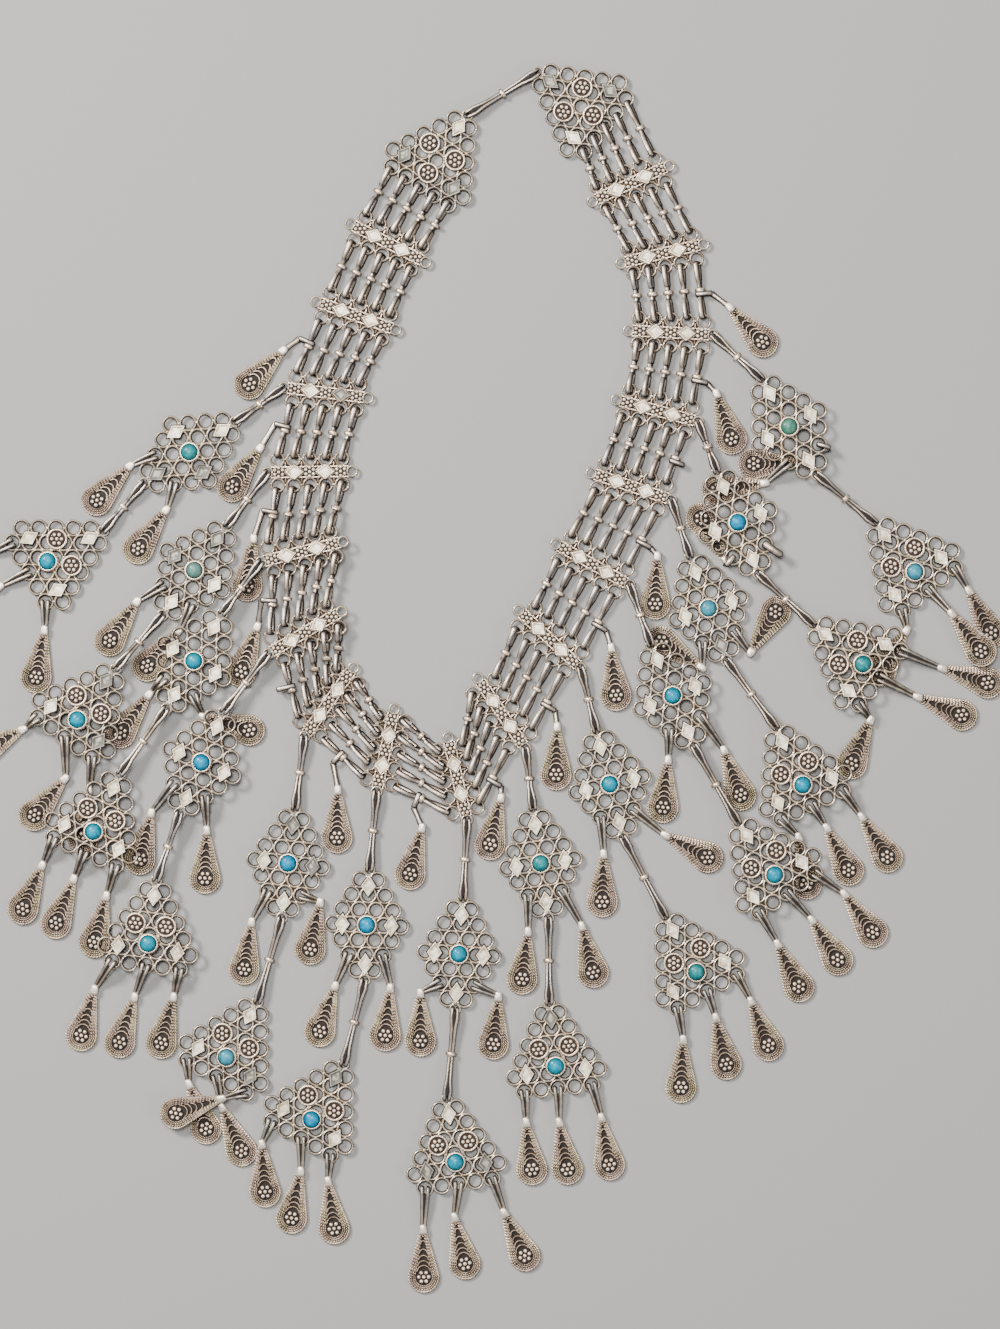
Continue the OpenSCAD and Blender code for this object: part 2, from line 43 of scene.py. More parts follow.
# Sizes in millimetres. Places are those of the solids. The stones, collets, lozenges and ring wires
# are some tenths larger than there, as in the photograph.
PHOTO_SIZE = (1000, 1329)
PLAN_MID = (467.42, 677.79)
PLAN_STEP = 0.32
OVER = 2.2
PITCH = 5.4
ROW_STEP = 4.8
RING_R = 2.46
HOLE_R = 1.88
WALL_R = 2.2
TOUCH = 1.1 * PITCH
SOLDER_R = 0.42
EYE_R = 1.6
EYE_OFF = 3.2
STONE_ROW = 3.55
DIAMOND_ORIGIN = 3
DROP_ROW = 2
BAR_PITCH = 5.15
BAR_ROW = 4.1
BAR_RING_R = 2.08
BAR_EYE = 13.5
BAR_BED = (12.2, 1.6)
BAR_RAIL = (12.3, 1.66)
ORNAMENT_STEP = 4.95
LATTICE_LOW = 1.0
LATTICE_TOP = 1.9
LATTICE_MID = 1.45
BED_LOW = LATTICE_LOW + 0.1
ORNAMENT_TOP = 2.4
PLAQUE_LOZENGE = (7.1, 4.8)
BAR_LOZENGE = (5.9, 4.9)
LOZENGE_BED = (1.1, 0.8)
LINK_H = 2.9
LINK_REACH = 17.6
LINK_WIRE = 0.4
LOOP_WIRE = 0.33
SLACK = 1.05
SNUG = 0.4
ROLL = 0.42
LEVEL_RUN = 6.4
KNOT_R = 1.4
KNOT_L = 1.1
NECK = 1.8
WAIST_OFF = 1.3
BAIL_BACK = 0.7
BAIL_GRIP = 1.3
LOOP_BACK = 1.7
RIM_REACH = 4.7
HANG_REACH = 5.6
STONE_R = 2.6
STONE_LOW = 2.0
STONE_EDGE = 3.0
STONE_TOP = 4.1
COLLET_R = 3.22
COLLET_TOP = 3.2
MEDALLION_R = 3.35
DROP_L = 20.4
DROP_R = 4.8
DROP_CENTRE = DROP_L - DROP_R
ARCHES = (3.9, 6.6, 8.6, 10.3, 11.8)
RECESS_FROM = 2.2
FOOT_SWELL = 0.3
CAP_W = 2.7
CAP_H = 2.2
TWIST_PITCH = 1.9

# Half sizes of wires, across and upright
RING_WIRE = (0.36, 0.45)
EYE_WIRE = (0.38, 0.42)
BAR_RING_WIRE = (0.37, 0.44)
MEDALLION_WIRE = (0.44, 0.42)
COLLET_WIRE = (0.2, 0.2)
ARCH_WIRE = (0.26, 0.28)

# Flowers of granules: radius of their circle, radius of a granule
MEDALLION_FLOWER = (1.54, 0.72)
ROSETTE_FLOWER = (1.42, 0.68)
DROP_FLOWER = (1.58, 0.73)

# Twisted rims of a drop, from the outer one: inset, half width at the cap, half sizes, height
DROP_RIMS = (
    (0.38, 0.92, 0.40, 0.42, 0.72),
    (1.07, 0.66, 0.33, 0.36, 0.92),
    (1.72, 0.42, 0.31, 0.34, 0.90),
    (2.28, 0.22, 0.25, 0.30, 0.72),
)

# Factors on the painted light of parts that are darker or lighter than the rest; the collet's twisted
# wire and the dark wires inside doubled links and bails are dimmed as painted shade, and a drop's outer
# rim gets a painted highlight
OUTER_SHADE = 0.94
BAR_RING_SHADE = 0.93
COLLET_WIRE_SHADE = 0.8
INSIDE_SHADE = 0.3
RIM_PAINTED_HIGHLIGHT = 1.2

# Repeats of the procedural patterns in a metre
CLOUD_SCALE = 420.0
PIT_SCALE = 2600.0
PATCH_SCALE = 95.0
STONE_CLOUD_SCALE = 700.0
VEIN_SCALE = 330.0

# How far a wire's twist shows as painted shade in its grooves and painted light on its ridges, and in
# its relief, and the clouds in its gloss
TWIST_PAINTED_SHADE = 0.16
TWIST_RELIEF = 0.8
CLOUD_GLOSS = 0.25
RELIEF_M = 0.0002
SHARP_ANGLE = 50

# Columns: plan x, plan y, turn of the outward end, rise
BARS = [
    (388, 243.5, 153, 0),
    (356, 316, 160.5, 0),
    (326, 393, 173, 0),
    (310, 472, 181, 0),
    (302.5, 552, 194, OVER),
    (305.5, 632.5, 210, OVER),
    (329, 702, 234.5, 0),
    (385.5, 750, 258, 0),
    (457.5, 778.5, 283, 0),
    (501.5, 713, 304, 0),
    (549.5, 639, 317, 0),
    (592.5, 564.5, 331, 0),
    (631, 486.5, 341.5, 0),
    (657, 411, 345, 0),
    (670.5, 333, 357, 0),
    (662, 254, 373, 0),
    (630.5, 184, 385, 0),
]
ENDS = [(432, 168, 236, 0), (587.5, 112, 322, 0)]

# Columns: plan x, plan y, turn of the axis away from the band, rise, hue of the stone
DIAMONDS = [
    (190, 452.5, -146, 0, "teal"),
    (195, 570.5, -126, 0, "grey"),
    (195, 661, -120.5, OVER, "cyan"),
    (202.5, 762, -113.5, OVER, "blue"),
    (288.5, 863, -97, 0, "blue"),
    (367, 924.5, -92.5, 0, "blue"),
    (459, 953.5, -94, 0, "cyan"),
    (540.5, 863, -82, 0, "teal"),
    (609.5, 784, -76, 0, "cyan"),
    (672, 695.5, -67, OVER, "cyan"),
    (708, 608.5, -70.5, 0, "pale"),
    (737, 523, -68, OVER, "blue"),
    (788, 427.5, -60, OVER, "green"),
]
TRIANGLES = [
    (48.5, 561.5, -151, 0, "cyan"),
    (79, 719.5, -126.5, OVER, "cyan"),
    (95, 831, -114.5, OVER, "cyan"),
    (149.5, 942.5, -97, OVER, "cyan"),
    (227, 1056.5, -119, 0, "pale"),
    (312, 1118.5, -120, 0, "blue"),
    (455.5, 1161, -82, 0, "cyan"),
    (555.5, 1065.5, -84, 0, "cyan"),
    (696, 971.5, -60.5, 0, "teal"),
    (773.5, 874, -55, OVER, "cyan"),
    (801.5, 784.5, -65, OVER, "cyan"),
    (861.5, 664, -38.5, OVER, "teal"),
    (914, 572, -51, 0, "pale"),
]

# Columns: chain, side, plan x and y of the cap, turn of the drop, rise
DIAMOND_DROPS = [
    (1, -1, 131, 465.5, -134, 0), (1, 1, 167, 509.5, -126, 0),
    (2, -1, 138, 601, -125, 0), (2, 1, 180, 630, -132, 0),
    (3, -1, 150, 694, -127, 0), (3, 1, 203, 716, -17, 0),
    (4, -1, 152, 812, -104, 0), (4, 1, 207, 829.5, -92, 0),
    (5, -1, 252, 921, -99, 0), (5, 1, 320.5, 901.5, -102, 0),
    (6, -1, 335.5, 985, -108.5, 0), (6, 1, 390.5, 987, -96, 0),
    (7, -1, 420.5, 992, -90, 0), (7, 1, 498.5, 995.5, -96, 0),
    (8, -1, 528, 930.5, -97, 0), (8, 1, 581.5, 925, -76, 0),
    (9, -1, 603.5, 853, -91.5, 0), (9, 1, 664.5, 834.5, -28, 0),
    (10, -1, 668, 759, -96, 0), (10, 1, 723.5, 749.5, -69.5, 0),
    (11, -1, 702, 668, 147, 0), (11, 1, 750, 653, 58.5, 0),
    (13, -1, 765, 483, 188, 0),
]
TRIANGLE_DROPS = [
    (1, -1, -13, 556, -152, 0), (1, 0, 1, 586, -143, 0), (1, 1, 45, 629.5, -100, 0),
    (2, -1, 24, 729, -151, 0), (2, 0, 66, 778, -130, 0), (2, 1, 89.5, 790, -97, 0),
    (3, -1, 43, 864.5, -114, 0), (3, 0, 74.5, 878, -112, 0), (3, 1, 107, 895, -104.5, 0),
    (4, -1, 95, 988.5, -106, 0), (4, 0, 135, 996, -108, 0), (4, 1, 174, 996, -105, 0),
    (5, -1, 189, 1083, -69, 0), (5, 0, 222, 1106, -66, 0), (5, 1, 223, 1097, -162, 2.8),
    (6, -1, 262, 1143, -86, 0), (6, 0, 301, 1170, -101, 0), (6, 1, 328, 1180, -82.5, 0),
    (7, -1, 423, 1228, -89, 0), (7, 0, 454.5, 1216, -77.5, 0), (7, 1, 504, 1211.5, -64.5, 0),
    (8, -1, 526, 1121, -83, 0), (8, 0, 559, 1121, -80, 0), (8, 1, 601, 1116.5, -80, 0),
    (9, -1, 683, 1038.5, -92.5, 0), (9, 0, 715.5, 1016.5, -77.5, 0), (9, 1, 750.5, 1000, -68.5, 0),
    (10, -1, 777, 943, -63.5, 0), (10, 0, 811, 919, -57, 0), (10, 1, 843.5, 893, -53.5, 0),
    (11, -1, 798, 836, -80, 0), (11, 0, 826, 827, -62.5, 0), (11, 1, 861, 816, -57.5, 0),
    (12, -1, 870.5, 719, -113, 0), (12, 0, 916.5, 696.5, -22.5, 0), (12, 1, 941, 668, -18, 0),
    (13, -1, 906.5, 630, -122, 0), (13, 0, 950, 613, -52, 2.0), (13, 1, 968, 590, -62, 0),
]
# Columns: chain, side, plan x and y of the cap, turn of the drop, turn of the loop
TURNED_DROPS = [(12, -1, 725.5, 560.5, 120, -129), (13, 1, 802, 463, 181, -15)]
# Columns: chain, side, turn, reach
BARE_BAILS = [(12, 1, -34, 7.3)]
# Columns: cell, plan x and y of the cap, turn
BAND_DROPS = [
    (3, 284, 350, -135), (4, 261, 447.5, -126), (5, 254, 538, -98), (6, 258, 626, -110),
    (8, 338, 789, -91), (9, 422, 827, -104), (10, 501, 797, -103),
    (11, 557, 726, -91), (12, 611, 647, -84), (13, 657.2, 555.5, -92.5),
    (15, 716, 393, -71.5), (16, 729, 307, -46.5),
]
# Columns: cell, reach
BARE_LOOPS = [(7, 6.4), (14, 5.2)]

# Rings in each row of a lattice, from the tip next to the band
DIAMOND_ROWS = (2, 3, 4, 5, 4, 3, 2)
TRIANGLE_ROWS = (2, 3, 4, 5, 6, 5)
# Seats of ornaments: row of the lattice, rings from its middle; on a bar, steps from its middle
DIAMOND_LOZENGES = ((0.4, 0), (5.6, 0), (3, -1.45), (3, 1.45))
TRIANGLE_LOZENGES = ((0.35, 0), (3.9, -1.76), (3.9, 1.76))
BAR_LOZENGES = (-1, 1)
MEDALLIONS = ((2.3, -0.9), (2.3, 0.9))
END_MEDALLIONS = MEDALLIONS + ((4, 0),)
# Lozenges that are dull in the photograph, by their order on the piece
DULL_LOZENGES = {"diamond_1": (1, 3), "diamond_2": (0, 2), "diamond_5": (0, 3), "diamond_11": (1,),
                 "triangle_2": (0, 2), "triangle_5": (2,), "triangle_6": (0,), "triangle_7": (1, 2),
                 "triangle_8": (0,), "end_plaque_left": (1, 2), "end_plaque_right": (0, 2),
                 "bar_left_3": (0,)}
CELLS = len(BARS) + 1
# The bar from which the first chain of plaques hangs, counted from 0
FIRST_CHAIN = 2
BASE_ROW = len(TRIANGLE_ROWS) - 1
DIAMOND_TIP = (len(DIAMOND_ROWS) - 1 - DIAMOND_ORIGIN) * ROW_STEP + EYE_OFF
TRIANGLE_TIP = -STONE_ROW * ROW_STEP - EYE_OFF

# Finishes, by their place in every piece's list of materials
WIRE, PLATE, GRAIN, DEEP_PAINTED_SHADE, LINK, DROP, CAP, BRIGHT, WALL, BAIL, ARCH, DULL = range(12)


def on_plan(x, y):
    """A point of the photograph's plan on the floor, in millimetres."""
    return np.array([(x - PLAN_MID[0]) * PLAN_STEP, (PLAN_MID[1] - y) * PLAN_STEP])


def heading(turn):
    """The direction of a turn in degrees."""
    return np.array([math.cos(math.radians(turn)), math.sin(math.radians(turn))])


def turn_of(way):
    """The turn of a direction, in degrees."""
    return math.degrees(math.atan2(way[1], way[0]))


def spot(row, point):
    """A point of a piece's own plane, on the floor."""
    along = heading(row[2])
    return on_plan(row[0], row[1]) + point[0] * along + point[1] * np.array([-along[1], along[0]])


class Form:
    """A shape in millimetres: vertices with painted light, from painted shade at 0 to a painted
    highlight at 1, and faces with a finish and a twist map.
    """

    def __init__(self, verts, faces, finish, tone=1.0, uv=None):
        self.verts = np.asarray(verts, float)
        self.faces = np.asarray(faces, int)
        count = len(self.faces)
        self.finish = np.broadcast_to(finish, count).copy()
        self.tone = np.broadcast_to(tone, len(self.verts)).astype(float).copy()
        self.uv = np.zeros((count, 4, 2)) if uv is None else uv

    def at(self, x=0.0, y=0.0, z=0.0, turn=0.0):
        """A copy turned about +Z and moved."""
        c, s = heading(turn)
        spin = np.array([[c, -s, 0], [s, c, 0], [0, 0, 1]])
        return Form(self.verts @ spin.T + (x, y, z), self.faces, self.finish, self.tone, self.uv)

    def dimmed(self, factor):
        """A copy whose painted light is multiplied."""
        return Form(self.verts, self.faces, self.finish, self.tone * factor, self.uv)


def joined(forms):
    """Many forms as one."""
    start = 0
    faces = []
    for form in forms:
        faces.append(np.where(form.faces >= 0, form.faces + start, -1))
        start += len(form.verts)
    return Form(np.vstack([f.verts for f in forms]), np.vstack(faces),
                np.concatenate([f.finish for f in forms]), np.concatenate([f.tone for f in forms]),
                np.vstack([f.uv for f in forms]))


def grid_faces(rows, cols, close_rows):
    """Quads of a grid of vertices that closes along its columns, and along its rows if asked."""
    i, j = np.meshgrid(np.arange(rows if close_rows else rows - 1), np.arange(cols), indexing="ij")
    i, j = i.ravel(), j.ravel()
    i2, j2 = (i + 1) % rows, (j + 1) % cols
    faces = np.stack([i * cols + j, i * cols + j2, i2 * cols + j2, i2 * cols + j], axis=1)
    return faces, i, j


def fan(start, count, centre, upward):
    """Triangles from a loop of vertices to a centre vertex."""
    j = np.arange(count)
    k = (j + 1) % count
    pair = (start + j, start + k) if upward else (start + k, start + j)
    return np.stack([pair[0], pair[1], np.full(count, centre), np.full(count, -1)], axis=1)


def capped(faces, count, total):
    """The faces with a fan at either end, to two centre vertices that follow the others."""
    return np.vstack([faces, fan(0, count, total, False), fan(total - count, count, total + 1, True)])


def tube(path, normal, across, along, finish, sides=8, closed=False, run=None):
    """A wire on a flat path. along is its half size along the plane's normal, across the other."""
    path = np.asarray(path, float)
    normal = np.asarray(normal, float)
    count = len(path)
    if closed:
        tangent = np.roll(path, -1, axis=0) - np.roll(path, 1, axis=0)
        step = np.linalg.norm(np.roll(path, -1, axis=0) - path, axis=1)
    else:
        tangent = np.gradient(path, axis=0)
        step = np.append(np.linalg.norm(np.diff(path, axis=0), axis=1), 0)
    tangent /= np.linalg.norm(tangent, axis=1)[:, None]
    side = np.cross(normal, tangent)
    angle = 2 * math.pi * np.arange(sides) / sides
    across = np.broadcast_to(across, count)[:, None, None]
    along = np.broadcast_to(along, count)[:, None, None]
    cos = np.cos(angle)[None, :, None]
    sin = np.sin(angle)[None, :, None]
    verts = path[:, None] + cos * across * side[:, None] + sin * along * normal
    # Painted light: the wire's upper side lighter, painted shade below and on its flanks
    tone = 0.5 + 0.5 * (cos[..., 0] * side[:, 2:3] + sin[..., 0] * normal[2])
    faces, i, j = grid_faces(count, sides, closed)
    run = np.concatenate([[0], np.cumsum(step)]) if run is None else run
    if closed:
        turns = max(round(run[-1] / TWIST_PITCH), 1)
        run = run * (turns / run[-1])
    else:
        run = run / TWIST_PITCH
    u0, u1 = run[i], run[i + 1]
    v0, v1 = j / sides, (j + 1) / sides
    uv = np.stack([np.stack([u0, v0], 1), np.stack([u0, v1], 1), np.stack([u1, v1], 1),
                   np.stack([u1, v0], 1)], axis=1)
    verts = verts.reshape(-1, 3)
    tone = tone.ravel()
    if not closed:
        total = len(verts)
        verts = np.vstack([verts, path[:1], path[-1:]])
        tone = np.append(tone, [0.5, 0.5])
        faces = capped(faces, sides, total)
        uv = np.vstack([uv, np.zeros((2 * sides, 4, 2))])
    return Form(verts, faces, finish, tone, uv)


def circle(radius, count, z=0.0):
    angle = 2 * math.pi * np.arange(count) / count
    return np.stack([radius * np.cos(angle), radius * np.sin(angle), np.full(count, z)], axis=1)


def hoop(radius, across, high, z, finish, count=20, sides=8):
    """A round wire ring lying flat."""
    return tube(circle(radius, count, z=z), UP, across, high, finish, sides, closed=True)


def loft(levels, finish, painted_lights):
    """Closed form through stacked loops of the same count, each (points, z), with flat ends."""
    count = len(levels[0][0])
    verts = np.vstack([np.column_stack([points, np.full(count, z)]) for points, z in levels])
    faces, _, _ = grid_faces(len(levels), count, False)
    low = np.append(np.mean(levels[0][0], axis=0), levels[0][1])
    top = np.append(np.mean(levels[-1][0], axis=0), levels[-1][1])
    total = len(verts)
    verts = np.vstack([verts, [low], [top]])
    faces = capped(faces, count, total)
    tone = np.concatenate([np.repeat(painted_lights, count), [painted_lights[0], painted_lights[-1]]])
    return Form(verts, faces, finish, tone)


def lathe(profile, finish, count, painted_lights, closed=False):
    """A turned form about +Z from (radius, z) points; a closed profile makes a ring."""
    profile = np.asarray(profile, float)
    angle = 2 * math.pi * np.arange(count) / count
    verts = np.stack([profile[:, :1] * np.cos(angle), profile[:, :1] * np.sin(angle),
                      np.repeat(profile[:, 1:], count, axis=1)], axis=2).reshape(-1, 3)
    faces, _, _ = grid_faces(len(profile), count, closed)
    tone = np.repeat(np.broadcast_to(painted_lights, len(profile)), count).astype(float)
    if not closed:
        total = len(verts)
        verts = np.vstack([verts, [0, 0, profile[0, 1]], [0, 0, profile[-1, 1]]])
        tone = np.append(tone, [tone[0], tone[-1]])
        faces = capped(faces, count, total)
    return Form(verts, faces, finish, tone)


def ball(radius, z, finish, count=8, rows=3):
    """A granule whose middle is at height z."""
    lat = np.linspace(-math.pi / 2, math.pi / 2, rows + 2)[1:-1]
    levels = [(circle(radius * math.cos(a), count)[:, :2], z + radius * math.sin(a)) for a in lat]
    # Painted light: a granule is lighter on top and darker below
    form = loft(levels, finish, [0.5 + 0.5 * math.sin(a) for a in lat])
    form.verts[-2, 2] = z - radius
    form.verts[-1, 2] = z + radius
    form.tone[-2:] = 0, 1
    return form


def scaled(points, factor):
    return np.asarray(points, float) * factor


def rhomb(length, width):
    return np.array([[length / 2, 0], [0, width / 2], [-length / 2, 0], [0, -width / 2]])


def lozenge(length, width, finish):
    """A hammered plate with a soft edge, painted darker at its foot and in a groove inside its edge, on
    a wider dark bed of its own shape that is painted shade with patina round it.
    """
    shape = rhomb(length, width)
    top = ORNAMENT_TOP
    plate = loft([(scaled(shape, 0.94), top - 0.85), (shape, top - 0.6), (shape, top - 0.2),
                  (scaled(shape, 0.95), top - 0.02), (scaled(shape, 0.86), top),
                  (scaled(shape, 0.78), top - 0.12), (scaled(shape, 0.4), top - 0.02)],
                 finish, [0.0, 0.15, 0.6, 1.0, 1.0, 0.8, 1.0])
    wide = rhomb(length + LOZENGE_BED[0], width + LOZENGE_BED[1])
    bed = loft([(wide, BED_LOW + 0.05), (wide, LATTICE_MID + 0.1)], DEEP_PAINTED_SHADE, [0.3, 0.5])
    return joined([plate, bed])


def flower(radius, grain, z):
    """Seven granules: one in the middle and six round it."""
    granule = ball(grain, z, GRAIN)
    return joined([granule] + [granule.at(*(radius * heading(60 * k + 30))) for k in range(6)])


def deep_plate(points, low=BED_LOW):
    """A dark plate that closes a gap between wires, below their tops: a real plate, blackened as
    painted shade with patina.
    """
    return loft([(points, low), (points, LATTICE_MID)], DEEP_PAINTED_SHADE, [0.3, 0.6])


def ring_centres(counts, origin):
    """Places of a lattice's rings, row by row."""
    return [((row - origin) * ROW_STEP, (i - (n - 1) / 2) * PITCH)
            for row, n in enumerate(counts) for i in range(n)]


# A ring's dark inner wall is patina with painted shade, darker towards its foot
RING = joined([
    hoop(RING_R, *RING_WIRE, LATTICE_MID, WIRE),
    lathe([(WALL_R, LATTICE_MID + 0.25), (HOLE_R, LATTICE_LOW + 0.12), (WALL_R, LATTICE_LOW + 0.05)],
          WALL, 18, [0.9, 0.25, 0.1], closed=True),
])
EYE = hoop(EYE_R, *EYE_WIRE, LATTICE_MID, WIRE, count=16)
BAR_RING = hoop(BAR_RING_R, *BAR_RING_WIRE, LATTICE_MID, BRIGHT).dimmed(BAR_RING_SHADE)
SOLDER = ball(SOLDER_R, LATTICE_MID + 0.12, WIRE, count=6, rows=2)


def web(centres):
    """Solder at every touch of two rings, and a deep plate in every gap between three."""
    points = np.array(centres)
    near = np.linalg.norm(points[:, None] - points[None], axis=2) < TOUCH
    forms = []
    for a in range(len(points)):
        for b in range(a + 1, len(points)):
            if not near[a, b]:
                continue
            forms.append(SOLDER.at(*((points[a] + points[b]) / 2)))
            for c in range(b + 1, len(points)):
                if near[a, c] and near[b, c]:
                    corners = np.array([points[a] + points[b], points[b] + points[c],
                                        points[c] + points[a]]) / 2
                    u, v = corners[1] - corners[0], corners[2] - corners[0]
                    if u[0] * v[1] - u[1] * v[0] < 0:
                        corners = corners[::-1]
                    forms.append(deep_plate(corners))
    return forms


def lattice(counts, origin, eyes):
    """Rings in rows, duller where fewer than six others touch them, with an eye at each place given."""
    centres = ring_centres(counts, origin)
    forms = web(centres)
    for c in centres:
        inside = sum(math.dist(c, d) < TOUCH for d in centres) == 7
        forms.append((RING if inside else RING.dimmed(OUTER_SHADE)).at(*c))
    for x in eyes:
        forms.append(EYE.at(x))
        inner = x - math.copysign(EYE_R + 0.5, x)
        forms += [SOLDER.at(inner, y) for y in (-0.75, 0.75)]
    return forms


def seat(at, origin):
    """A place given as row and ring, on a plaque's own plane."""
    return (at[0] - origin) * ROW_STEP, at[1] * PITCH


# The collet is painted darker at its foot; the dark sleeve round the stone is painted shade in the gap,
# and the twisted wire outside is dimmed as painted shade
COLLET = joined([
    lathe([(COLLET_R, BED_LOW), (COLLET_R, COLLET_TOP - 0.4), (COLLET_R - 0.08, COLLET_TOP - 0.12),
           (COLLET_R - 0.24, COLLET_TOP), (STONE_R + 0.17, COLLET_TOP - 0.03),
           (STONE_R + 0.06, COLLET_TOP - 0.25), (STONE_R + 0.06, BED_LOW)],
          BRIGHT, 36, [0.3, 0.7, 0.95, 1.0, 0.98, 0.4, 0.1], closed=True),
    lathe([(STONE_R + 0.3, BED_LOW), (STONE_R + 0.3, LATTICE_TOP - 0.1)], DEEP_PAINTED_SHADE, 24, [0.2, 0.2]),
    hoop(COLLET_R + 0.06, *COLLET_WIRE, LATTICE_TOP + 0.1, WIRE, count=36,
         sides=6).dimmed(COLLET_WIRE_SHADE),
])

# The dark disc under a medallion's granules is painted shade with patina
MEDALLION = joined([
    hoop(MEDALLION_R - 0.33, *MEDALLION_WIRE, ORNAMENT_TOP - MEDALLION_WIRE[1], BRIGHT, count=28),
    lathe([(MEDALLION_R - 0.4, LATTICE_TOP - 0.4), (MEDALLION_R - 0.4, LATTICE_TOP + 0.05)], DEEP_PAINTED_SHADE, 24,
          [0.2, 0.7]),
    flower(*MEDALLION_FLOWER, LATTICE_TOP + 0.2),
])


def plaque(counts, origin, eyes, medallions, stone):
    forms = lattice(counts, origin, eyes)
    for at in medallions:
        forms.append(MEDALLION.at(*seat(at, origin)))
    if stone:
        forms.append(COLLET)
    return joined(forms)


DIAMOND = plaque(DIAMOND_ROWS, DIAMOND_ORIGIN, (-DIAMOND_TIP, DIAMOND_TIP), (), True)
TRIANGLE = plaque(TRIANGLE_ROWS, STONE_ROW, (TRIANGLE_TIP,), MEDALLIONS, True)
END = plaque(TRIANGLE_ROWS, STONE_ROW, (TRIANGLE_TIP,), END_MEDALLIONS, False)
# Columns: length, width and place of each lozenge
DIAMOND_PLATES = [(*PLAQUE_LOZENGE, *seat(at, DIAMOND_ORIGIN)) for at in DIAMOND_LOZENGES]
TRIANGLE_PLATES = [(*PLAQUE_LOZENGE, *seat(at, STONE_ROW)) for at in TRIANGLE_LOZENGES]
BAR_PLATES = [(*BAR_LOZENGE, k * ORNAMENT_STEP, 0) for k in BAR_LOZENGES]

# The dark disc under a rosette's granules is painted shade with patina
ROSETTE = joined([
    lathe([(2.0, BED_LOW), (2.0, LATTICE_TOP - 0.1)], DEEP_PAINTED_SHADE, 20, [0.3, 0.8]),
    flower(*ROSETTE_FLOWER, LATTICE_TOP + 0.1),
] + [ball(0.34, LATTICE_TOP - 0.05, GRAIN, count=6, rows=2).at(*(2.12 * heading(60 * k)))
     for k in range(6)])


def bar_form():
    """Five rings on each side of a bed with three rosettes, its rails, struts and eyes."""
    forms = []
    for k in range(-2, 3):
        for side in (-1, 1):
            forms.append(BAR_RING.at(k * BAR_PITCH, side * BAR_ROW))
    for k in range(-2, 2):
        for side in (-1, 1):
            x = (k + 0.5) * BAR_PITCH
            forms.append(SOLDER.at(x, side * BAR_ROW))
            # Dark plates in the gaps by the rings are painted shade with patina
            gap = np.array([(x - 1.5, side * 1.8), (x + side * 0.01, side * 3.9),
                            (x + 1.5, side * 1.8)])
            forms.append(deep_plate(gap[::-1] if side > 0 else gap))
            path = [(x, side * 3.3, LATTICE_MID + 0.1), (x, side * 1.9, LATTICE_MID + 0.1)]
            forms.append(tube(path, UP, 0.25, 0.3, BRIGHT, sides=5).dimmed(OUTER_SHADE))
    x, y = BAR_BED
    # The bed under the rosettes and lozenges is a dark plate of painted shade with patina
    forms.append(deep_plate(np.array([(-x, -y), (x, -y), (x, y), (-x, y)]), LATTICE_LOW + 0.05))
    reach, off = BAR_RAIL
    for side in (-1, 1):
        path = [(x, side * off, LATTICE_MID + 0.1) for x in np.linspace(-reach, reach, 5)]
        forms.append(tube(path, UP, 0.3, 0.42, BRIGHT, sides=6).dimmed(OUTER_SHADE))
        forms.append(EYE.at(side * BAR_EYE))
        for k in BAR_LOZENGES:
            for end in (-1, 1):
                x = k * ORNAMENT_STEP
                path = [(x + end * 0.9, side * 2.0, LATTICE_TOP),
                        (x + end * 3.0, side * 0.45, LATTICE_TOP)]
                forms.append(tube(path, UP, 0.22, 0.3, BRIGHT, sides=5).dimmed(OUTER_SHADE))
    for k in (-2, 0, 2):
        forms.append(ROSETTE.at(k * ORNAMENT_STEP))
    return joined(forms)


BAR = bar_form()


def lean_of(u, foot, za, zb):
    """Rise at u of a link between ends that lie at za and zb, level beyond its two feet."""
    return za + (zb - za) * np.clip((u + foot) / (2 * foot), 0, 1)


def foot_of(gap):
    """Distance from a link's middle to where it comes level."""
    return max(gap / 2 - LEVEL_RUN, NECK + 0.3)


def strand(half, foot, width_end, width_waist, offset_end, offset_waist, finish, wire=LINK_WIRE):
    """Half a link as one bent wire in the (along, up) plane, from the knot round the end and back."""
    high = LINK_H - LINK_WIRE
    mid = LINK_H / 2
    end = half - LINK_WIRE
    top = [(0.3, mid + 0.24), (NECK, mid + 0.3), (NECK * 0.45 + foot * 0.55, mid + 0.62),
           (foot + 0.3, high - 0.06), ((foot + end) / 2 + 0.3, high), (end - 0.75, high),
           (end - 0.3, high - 0.12), (end - 0.06, high - 0.42)]
    bottom = [(u, 2 * mid - z) for u, z in reversed(top)]
    rail = np.array(top + [(end, mid)] + bottom)
    reach = np.clip((rail[:, 0] - NECK * 0.5) / (end - NECK * 0.5), 0, 1)
    swell = 0.45 * np.clip(1 - np.abs(rail[:, 0] - end + 2.6) / 2.6, 0, 1) * (offset_end > 0)
    offset = offset_waist + (offset_end - offset_waist) * reach ** 1.2 + swell
    width = width_waist + (width_end - width_waist) * reach ** 0.8
    path = np.column_stack([rail[:, 0], offset, rail[:, 1]])
    return tube(path, (0, 1, 0), wire, width, finish)


def mirrored(form, axis):
    """A copy mirrored along one axis, with its faces turned right side out."""
    flip = np.ones(3)
    flip[axis] = -1
    faces = form.faces.copy()
    quad = faces[:, 3] >= 0
    faces[quad] = faces[quad][:, ::-1]
    faces[~quad, :3] = faces[~quad, :3][:, ::-1]
    uv = form.uv.copy()
    uv[quad] = uv[quad][:, ::-1]
    return Form(form.verts * flip, faces, form.finish, form.tone, uv)


